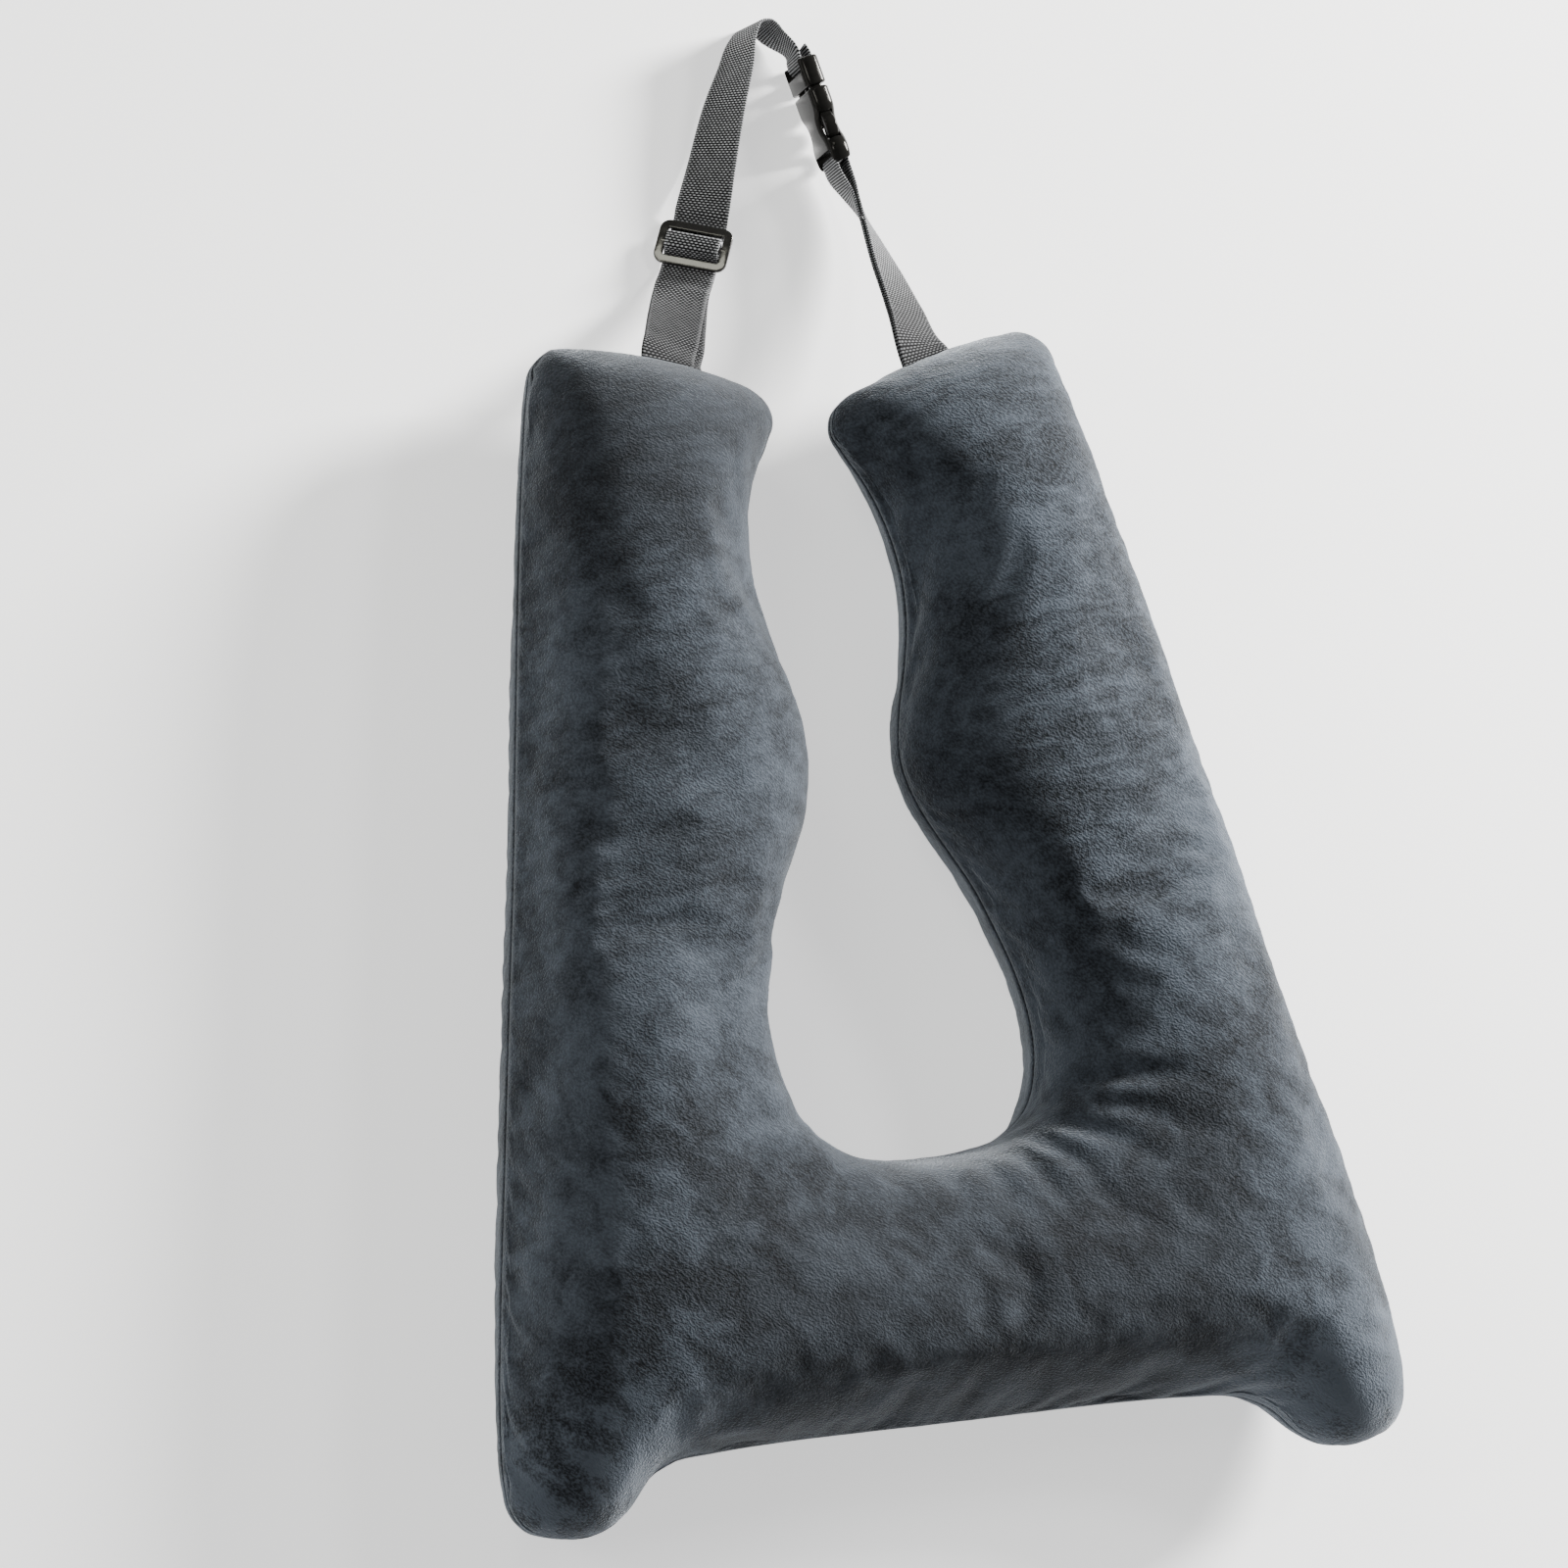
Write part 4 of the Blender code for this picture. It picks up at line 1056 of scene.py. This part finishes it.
def joined(*parts):
    """Several forms as one list of points and one of faces."""
    points, faces, shift = [], [], 0
    for some_points, some_faces in parts:
        points.append(some_points)
        faces += [[n + shift for n in face] for face in some_faces]
        shift += len(some_points)
    return np.vstack(points), faces


# %% Turning a moulding into its place
EDGE, EDGE_FROM = 0.25, 50                  # mm of rounding on a cut edge, and from which angle


def moulded(name, parts, centre, axes):
    """A closed object from parts in the lying coordinates, turned into its place."""
    points, faces = parts
    return closed_object(name, np.array(centre) + points @ np.array(axes), faces)


def applied(obj, sharp=35):
    """The mesh with its modifiers worked in, smooth but for edges over `sharp` degrees."""
    graph = bpy.context.evaluated_depsgraph_get()
    obj.data = bpy.data.meshes.new_from_object(obj.evaluated_get(graph))
    obj.modifiers.clear()
    obj.data.shade_smooth()
    obj.data.set_sharp_from_angle(angle=math.radians(sharp))
    return obj


def cut(obj, cutter):
    """Cut the cutter out of the object and round the new edges a little."""
    core = obj.modifiers.new("Core", "BOOLEAN")
    core.operation, core.object = "DIFFERENCE", cutter
    applied(obj)
    bpy.data.objects.remove(cutter)
    soft = obj.modifiers.new("Edges", "BEVEL")
    soft.width, soft.segments, soft.limit_method = EDGE * MM, 2, "ANGLE"
    soft.angle_limit = math.radians(EDGE_FROM)
    return applied(obj)


# %% [markdown]
# The slider is one hoop with a bar across its middle. The hoop has broad faces and small rounded
# edges, because that is how it is moulded: a round wire would show only thin lines of light. The
# front is a little domed, so the upper and the lower bar mirror different parts of the studio,
# and the lower one is bright.

# %% Slider
RING_HALF, RING_CORNER = (16.9, 10.6), 2.6  # of the hoop's outside, and of its middle line
RING_BAR, RING_DEPTH, RING_EDGE = 2.0, 1.3, 0.55     # half its width, half its depth, its edges
DOME = 0.006             # 1/mm: the front falls away by this times y * y
MIDDLE_BAR = (29.6, 0.0, 1.3, 1.2)          # its length, place, half width and half depth
slider_width, slider_axis, behind = slider_axes()
ring_path, ring_out = rounded_outline(RING_HALF[0] - RING_BAR, RING_HALF[1] - RING_BAR,
                                      RING_CORNER, 8)
ring_points, ring_faces = hoop(ring_path, ring_out, RING_BAR, RING_DEPTH, RING_EDGE)
domed = ring_points[:, 2] > 0
ring_points[domed, 2] -= DOME * ring_points[domed, 1] ** 2
slider_parts = joined((ring_points, ring_faces), rod(*MIDDLE_BAR))
slider = moulded("slider_ring", slider_parts, SLIDER_CENTRE, [slider_width, slider_axis, -behind])
applied(slider, 60)
print("slider:", len(slider.data.polygons), "faces")

# %% [markdown]
# The socket narrows to a waist where the prongs' pads look out on both sides, and flares out
# again before the bar that the webbing folds round. The plug is a short block with its own bar,
# a guide down the middle and the two springy prongs. A subdivided box could be pulled into these
# shapes too, but stations and outlines in millimetres keep the two halves fitting each other.

# %% Tables of the buckle
# Stations of the socket's side, then outlines of a prong and of the guide, all in x and y
SOCKET = [(0.65, 16.5), (4, 16.5), (7.5, 16.5), (9.6, 16.2), (11.6, 14.9), (14.2, 12.3),
          (18, 11.1), (21.6, 12.0), (24.8, 14.6), (27.6, 15.8), (31.5, 15.8), (34.0, 15.2),
          (35.65, 14.2)]
PLUG = [(-14.15, 16.5), (-7.0, 16.5), (-0.65, 16.5)]
PRONG = [(12.6, -3.6), (12.4, 1), (12.4, 6), (12.9, 11), (13.4, 13.4), (15, 15), (15.6, 17.4),
         (15.2, 20.8), (13.4, 23.4), (10.8, 24.4), (9.3, 22.6), (9.6, 18), (9.3, 11), (8.7, 5),
         (8.5, -3.6)]
GUIDE = [(2.2, -3.6), (2.2, 6), (2.2, 16), (0, 18), (-2.2, 16), (-2.2, 6), (-2.2, -3.6)]
SHELL_DEPTH, SHELL_CORNER = 5.0, 4.2        # half the thickness, and its corners
PRONG_DEPTH, GUIDE_DEPTH = 2.7, 2.0         # halves of their thicknesses
HOLLOW, HOLLOW_FROM, HOLLOW_TO = (14.4, 3.2, 1.0), -2.0, 26.3
SLOT_ACROSS, SLOT_THROUGH = (-13.5, 13.5), (-7, 7)
SOCKET_SLOT, PLUG_SLOT = (29.35, 38.0), (-18.0, -7.85)       # the webbing's gaps, along Y
BAR, BAR_SPAN = (1.2, 0.9), 29.0            # half sizes of a bar's section, and its length
print("socket:", len(SOCKET), "stations; prong:", len(PRONG), "points")

# %% Buckle
buckle_turn = list(buckle_axes())


def buckle_piece(name, parts, cutters):
    """A moulded piece with its hollows cut out."""
    piece = moulded(name, parts, BUCKLE_SPLIT, buckle_turn)
    return cut(piece, moulded("core", joined(*cutters), BUCKLE_SPLIT, buckle_turn))


socket_side = smooth_curve(np.array(SOCKET, float), 5)
hollow, _ = rounded_outline(*HOLLOW)
hollow = np.stack([np.column_stack([hollow[:, 0], np.full(len(hollow), y), hollow[:, 1]])
                   for y in (HOLLOW_FROM, HOLLOW_TO)])
socket = buckle_piece("buckle_socket_body", body(socket_side, SHELL_DEPTH, SHELL_CORNER),
                      [loft(hollow), block(SLOT_ACROSS, SOCKET_SLOT, SLOT_THROUGH)])
socket_bar = moulded("socket_bar", rod(BAR_SPAN, SOCKET_BAR, *BAR), BUCKLE_SPLIT, buckle_turn)
plug = buckle_piece("buckle_plug_body", body(np.array(PLUG), SHELL_DEPTH, SHELL_CORNER),
                    [block(SLOT_ACROSS, PLUG_SLOT, SLOT_THROUGH)])
prong = smooth_curve(np.array(PRONG, float), 4)
guide = smooth_curve(np.array(GUIDE, float), 4)
plug_parts = joined(plate(prong, PRONG_DEPTH), plate(prong[::-1] * (-1, 1), PRONG_DEPTH),
                    plate(guide, GUIDE_DEPTH, 0.6), rod(BAR_SPAN, PLUG_BAR, *BAR))
plug_prongs = moulded("plug_prongs", plug_parts, BUCKLE_SPLIT, buckle_turn)
for piece in (socket_bar, plug_prongs):
    applied(piece, 40)
print("buckle:", [len(piece.data.polygons) for piece in (socket, socket_bar, plug, plug_prongs)])

# %% [markdown]
# ## Writing a shader as arithmetic
#
# A pattern is easier to read as an expression than as a chain of nodes. `Value` wraps a socket
# and adds a Math node for each operator. Every other node comes from `Finish.node`, which takes
# the node's type, its settings and the values or links of its sockets.

# %% Values


class Value:
    """A number that varies over a surface: the output socket of some node."""

    def __init__(self, finish, socket):
        self.finish, self.socket = finish, socket

    def math(self, operation, *values, clamp=False):
        """One Math node, fed with the values in their order."""
        settings = {"operation": operation, "use_clamp": clamp}
        return self.finish.node("ShaderNodeMath", settings, dict(enumerate(values)))

    def __add__(self, other):
        return self.math("ADD", self, other)

    def __sub__(self, other):
        return self.math("SUBTRACT", self, other)

    def __mul__(self, other):
        return self.math("MULTIPLY", self, other)

    def __radd__(self, other):
        return self.math("ADD", other, self)

    def __rsub__(self, other):
        return self.math("SUBTRACT", other, self)

    def __rmul__(self, other):
        return self.math("MULTIPLY", other, self)

    def cosine(self):
        """The cosine of an angle in radians."""
        return self.math("COSINE", self)

    def fraction(self):
        """What is left after the whole number."""
        return self.math("FRACT", self)

    def size(self):
        """The number without its sign."""
        return self.math("ABSOLUTE", self)

    def clamped(self):
        """Kept between 0 and 1."""
        return self.math("ADD", self, 0.0, clamp=True)

    def step(self, low, high):
        """A smooth step from 0 at low to 1 at high."""
        settings = {"interpolation_type": "SMOOTHSTEP"}
        values = {"Value": self, "From Min": low, "From Max": high}
        return self.finish.node("ShaderNodeMapRange", settings, values)


# %% [markdown]
# `Finish` holds one material. The few nodes that come back in every finish have a method of their
# own that only fills in `node`'s arguments.

# %% Finishes


class Finish:
    """A material with its Principled shader."""

    def __init__(self, name):
        self.material = bpy.data.materials.new(name)
        self.material.use_nodes = True
        self.tree = self.material.node_tree
        self.shader = self.tree.nodes["Principled BSDF"]

    def put(self, socket, value):
        """Link a Value to a socket, or set a plain number, vector or colour on it."""
        if isinstance(value, Value):
            self.tree.links.new(value.socket, socket)
        else:
            socket.default_value = value

    def node(self, kind, settings=None, values=None, output=0):
        """A node of this kind: its settings first, then the values or links of its sockets."""
        node = self.tree.nodes.new(kind)
        for key, value in (settings or {}).items():
            setattr(node, key, value)
        for key, value in (values or {}).items():
            self.put(node.inputs[key], value)
        return Value(self, node.outputs[output])

    def place(self):
        """Object coordinates, which are metres in the frame, as every object is unturned."""
        return self.node("ShaderNodeTexCoord", output=3)

    def part(self, vector, axis):
        """One coordinate of a vector: 0 for x, 1 for y."""
        return self.node("ShaderNodeSeparateXYZ", {}, {0: vector}, output=axis)

    def noise(self, where, scale, detail=2.0, roughness=0.5, distortion=0.0):
        """Fractal noise from 0 to 1, with `scale` lumps to the metre."""
        values = {"Vector": where, "Scale": scale, "Detail": detail, "Roughness": roughness,
                  "Distortion": distortion}
        return self.node("ShaderNodeTexNoise", {}, values)

    def stretched(self, where, turn, size):
        """Coordinates in which a pattern is drawn out by `size` after a turn about Z."""
        values = {"Vector": where, "Rotation": (0.0, 0.0, turn), "Scale": size}
        return self.node("ShaderNodeMapping", {"vector_type": "TEXTURE"}, values)

    def mixed(self, factor, first, second):
        """A colour between two others, the first where the factor is 0."""
        values = {"Factor": factor, 6: first, 7: second}
        return self.node("ShaderNodeMix", {"data_type": "RGBA"}, values, output=2)

    def bump(self, height, distance, strength=1.0, below=None):
        """A normal tilted by a height pattern, on top of another normal if one is given."""
        values = {"Height": height, "Distance": distance, "Strength": strength}
        if below is not None:
            values["Normal"] = below
        return self.node("ShaderNodeBump", {}, values)

    def set(self, **sockets):
        """Feed the Principled shader: Base_Color stands for its socket Base Color."""
        for name, value in sockets.items():
            self.put(self.shader.inputs[name.replace("_", " ")], value)
        return self.material


# %% [markdown]
# ## Plush
#
# The cover is a short knitted plush. Its pile leans one way or another in patches where hands
# have brushed it, so it shows as pale and dark clouds, drawn out across the arms. Between them
# is the fine grain of the pile itself. Light that grazes the tips gives the pale rim, which is
# the shader's sheen. In the seam the pile shades itself, so it is darker there, and the stitches
# show as a row of darker dashes. Real hairs would take millions of curves, and at this length
# they would look no different from a bump.
#
# The plush also has light and shade painted in by region: it is painted darker on the crossbar
# and at the left arm's top, and lighter on the right arm and the feet. The strokes run across
# the arms, and the crossbar has rounder blots.

# %% Plush finish
DARK_PLUSH, PALE_PLUSH = (0.006, 0.007, 0.009, 1), (0.066, 0.079, 0.098, 1)
SEAM_SHADE = (0.002, 0.002, 0.0025, 1)
STITCH_LENGTH = 3.2      # mm from stitch to stitch


def painted_light_by_region(x, y):
    """Painted light and shade by region: 1, less or more where soft-edged masks are 1."""
    # Painted shade on the crossbar and the left arm's top, painted light on the right arm and the
    # feet
    outer = x.size().step(0.10, 0.17)
    bar = (1 - y.step(-0.23, -0.15)) * (1 - outer)
    left_top = y.step(0.04, 0.14) * (1 - x.step(-0.03, 0.03))
    right_arm = x.step(0.03, 0.10) * y.step(-0.20, -0.05)
    feet = (1 - y.step(-0.31, -0.25)) * outer
    return 1 - 0.48 * bar - 0.49 * left_top + 0.42 * right_arm + 0.90 * feet


def seam_shadow(plush):
    """0 away from the seam; in its groove 0.55 between two stitches and 1 in the thread."""
    groove = plush.node("ShaderNodeAttribute", {"attribute_name": "groove"}, output=2)
    along = plush.node("ShaderNodeAttribute", {"attribute_name": "along_seam"}, output=2)
    stitch = 0.5 + 0.5 * (along * (2 * math.pi / STITCH_LENGTH)).cosine()
    return groove.step(0.05, 0.8) * (0.55 + 0.45 * stitch.step(0.25, 0.7))


def make_plush():
    """Clouds, strokes or blots, and pile, added up and then scaled by painted light and shade."""
    plush = Finish("plush")
    where = plush.place()
    x, y = plush.part(where, 0), plush.part(where, 1)
    clouds = plush.noise(plush.stretched(where, 0.12, (1.5, 1.0, 1.0)), 17.0, 1.5, 0.5)
    strokes = plush.noise(plush.stretched(where, 0.10, (3.6, 1.0, 1.0)), 150.0, 3.0, 0.6, 0.3)
    blots = plush.noise(plush.stretched(where, -0.7, (1.5, 1.0, 1.0)), 75.0, 3.0, 0.62, 0.4)
    pile = plush.noise(plush.stretched(where, -0.65, (1.7, 1.0, 1.0)), 1050.0, 2.0, 0.6)
    arms = y.step(-0.19, -0.05)
    brushed = strokes * arms + blots * (1 - arms)
    nap = (clouds * 0.42 + brushed * 0.34 + blots * 0.24).step(0.37, 0.65)
    lit = (nap * 0.66 + pile.step(0.36, 0.66) * 0.34) * painted_light_by_region(x, y)
    colour = plush.mixed(lit, DARK_PLUSH, PALE_PLUSH)
    colour = plush.mixed(seam_shadow(plush), colour, SEAM_SHADE)
    soft = plush.bump(brushed, 0.0012, 0.5)
    return plush.set(Base_Color=colour, Roughness=0.95, Normal=plush.bump(pile, 0.0008, 0.9, soft),
                     Sheen_Weight=0.5, Sheen_Roughness=0.35, Sheen_Tint=(0.80, 0.86, 0.92, 1),
                     Specular_IOR_Level=0.2)


plush_finish = make_plush()
print(len(plush_finish.node_tree.nodes), "nodes in the plush")

# %% [markdown]
# ## Webbing threads
#
# The webbing is dark polyester with pale grey floats. The UV map counts its columns and rows, so
# the same product of cosines as in the relief gives each float its colour. A picture of a weave
# would do too, but it would have to be fitted to the relief by hand. The threads are dull, with
# almost no gloss, so that the light leaves them their contrast. Near the seams the pale floats are
# painted darker, a painted shade, and a fine noise makes them unevenly worn.

# %% Webbing finish
DYE, WORN_THREAD = (0.003, 0.003, 0.0035, 1), (0.62, 0.63, 0.65, 1)


def make_webbing():
    """Pale where both the float's cosine across and the rib's along are high, dark elsewhere."""
    webbing = Finish("webbing")
    weave = webbing.node("ShaderNodeUVMap", {"uv_map": "weave"})
    across, along = webbing.part(weave, 0), webbing.part(weave, 1)
    full, half = 2 * math.pi, COLUMNS / 2
    odd = (along * 0.5).fraction().step(0.499, 0.501)
    brick = 0.5 - 0.5 * ((across + odd * 0.5) * full).cosine()
    rib = 0.5 - 0.5 * (along * full).cosine()
    edge = (across - half).size().step(half - 0.75, half - 0.35)
    floats = (0.15 + 0.85 * brick.step(0.3, 0.8) + edge * 0.5).clamped()
    where = webbing.place()
    worn = webbing.noise(where, 260.0, 2.0, 0.6)
    # Painted shade: below y = 0.24 m, towards the seams, the pale floats are painted darker
    past_seams = webbing.part(where, 1).step(0.19, 0.24)
    attenuation = (0.36 + 0.64 * past_seams) * (0.45 + 0.55 * worn)
    tint = webbing.mixed(attenuation, DYE, WORN_THREAD)
    colour = webbing.mixed(floats * rib.step(0.3, 0.85), DYE, tint)
    fibres = webbing.noise(where, 1800.0, 2.0)
    return webbing.set(Base_Color=colour, Roughness=0.7, Normal=webbing.bump(fibres, 0.0002, 0.5),
                       Specular_IOR_Level=0.08)


webbing_finish = make_webbing()
print(len(webbing_finish.node_tree.nodes), "nodes in the webbing")

# %% [markdown]
# ## Moulded plastic
#
# The slider and the buckle are moulded in black acetal, which comes out of a polished mould with
# a gloss. An even black would mirror the studio too cleanly, so two noises break it up: handling
# leaves fine scratches, which vary the roughness a little, and the melt's flow leaves a faint
# ripple. The two come from different moulds: the slider shines more, and the buckle is held
# duller so that its broad face stays dark beside the pale floor that it mirrors.

# %% Plastic finish
BUCKLE_GLOSS, SLIDER_GLOSS = 0.09, 0.8


def make_plastic(name, gloss):
    """Near black, with `gloss` as the strength of its mirror and noise in its roughness."""
    plastic = Finish(name)
    where = plastic.place()
    handled = plastic.noise(where, 240.0, 3.0, 0.6)
    flow = plastic.noise(plastic.stretched(where, 0.4, (3, 1, 1)), 900.0, 2.0)
    colour = plastic.mixed(handled, (0.007, 0.007, 0.0065, 1), (0.016, 0.0155, 0.0145, 1))
    rough = 0.09 + handled.step(0.35, 0.75) * 0.10
    return plastic.set(Base_Color=colour, Roughness=rough, Normal=plastic.bump(flow, 0.00005, 0.3),
                       Specular_IOR_Level=gloss, Specular_Tint=(1.0, 0.97, 0.90, 1))


buckle_finish = make_plastic("gloss_black", BUCKLE_GLOSS)
slider_finish = make_plastic("gloss_black_slider", SLIDER_GLOSS)
print("gloss of the buckle and the slider:", BUCKLE_GLOSS, SLIDER_GLOSS)

# %% [markdown]
# Each finish goes onto its pieces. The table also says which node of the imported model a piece
# stands for, and which of the model's slots its finish fills.

# %% Put the finishes on
pieces = {
    cushion: ("cushion", "plush", plush_finish),
    webbing_long: ("webbing_long", "webbing", webbing_finish),
    webbing_return: ("webbing_return", "webbing", webbing_finish),
    webbing_loop: ("webbing_loop", "webbing", webbing_finish),
    slider: ("slider", "gloss_black", slider_finish),
    socket: ("buckle_socket", "gloss_black", buckle_finish),
    socket_bar: ("buckle_socket", "gloss_black", buckle_finish),
    plug: ("buckle_plug", "gloss_black", buckle_finish),
    plug_prongs: ("buckle_plug", "gloss_black", buckle_finish),
}
for piece, (_, _, finish) in pieces.items():
    piece.data.materials.clear()
    piece.data.materials.append(finish)
print("finishes:", [material.name for material in bpy.data.materials])

# %% [markdown]
# ## Floor and studio light
#
# The pillow lies on a plain pale floor. It glows a little, which brings it nearer to the white
# of the photograph.

# %% Floor
FLOOR_HALF, FLOOR_GLOW = 7.0, 0.9


def make_floor():
    """A square about the origin, with a pale finish that glows a little."""
    half = FLOOR_HALF
    corners = [(-half, -half, 0), (half, -half, 0), (half, half, 0), (-half, half, 0)]
    floor = mesh_object("floor", corners, [(0, 1, 2, 3)], smooth=False)
    pale = Finish("pale_floor")
    pale.set(Base_Color=(0.92, 0.92, 0.92, 1), Roughness=0.9, Emission_Color=(1, 1, 1, 1),
             Emission_Strength=FLOOR_GLOW)
    floor.data.materials.append(pale.material)


make_floor()
print("floor:", 2 * FLOOR_HALF, "m wide")

# %% [markdown]
# The key light stands low on the right. It makes the right side of each arm pale, leaves the
# inner side of the right arm dark and throws the shadow to the left. A small side light adds a
# crisper share from higher up. The other two are what the glossy parts mirror: the slider's lower
# bar mirrors the card, and the buckle's narrow side the strip. A weak sky fills the shadows.

# %% Lights


def area_light(name, at, aim, size, power, colour=(1, 1, 1)):
    """A round lamp, `size` metres wide, turned so that its face looks from `at` to `aim`."""
    data = bpy.data.lights.new(name, "AREA")
    data.shape, data.size, data.energy, data.color = "DISK", size, power, colour
    lamp = bpy.data.objects.new(name, data)
    bpy.context.scene.collection.objects.link(lamp)
    turned = (Vector(aim) - Vector(at)).to_track_quat("-Z", "Y").to_matrix().to_4x4()
    lamp.matrix_world = Matrix.Translation(at) @ turned


STRAP_AT = (0.0, 0.2, 0.0)
area_light("key", (2.3, 0.9, 1.0), (0.0, 0.0, 0.05), 0.8, 330, (1.0, 0.99, 0.97))
area_light("side", (1.54, 0.74, 1.71), STRAP_AT, 0.4, 14)
area_light("card", (-1.30, 1.32, 1.72), STRAP_AT, 0.8, 10, (0.98, 1.0, 0.92))
area_light("strip", (-1.83, 0.17, 1.16), STRAP_AT, 0.5, 9, (1.0, 0.99, 0.96))

world = bpy.data.worlds.new("studio")
world.use_nodes = True
sky = world.node_tree.nodes["Background"]
sky.inputs["Color"].default_value = (1, 1, 1, 1)
sky.inputs["Strength"].default_value = 0.2
bpy.context.scene.world = world
print("lights:", [light.name for light in bpy.data.lights])

# %% [markdown]
# ## What each piece stands for
#
# Every piece is tied to the frame: what it moves with, and which plain solid it replaces, which
# is then hidden. The part has no joints, so all of it rides on the one body.

for piece, (node, slot, _) in pieces.items():
    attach(piece, "root")
    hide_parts(node)
    print(piece.name, "stands for", node)
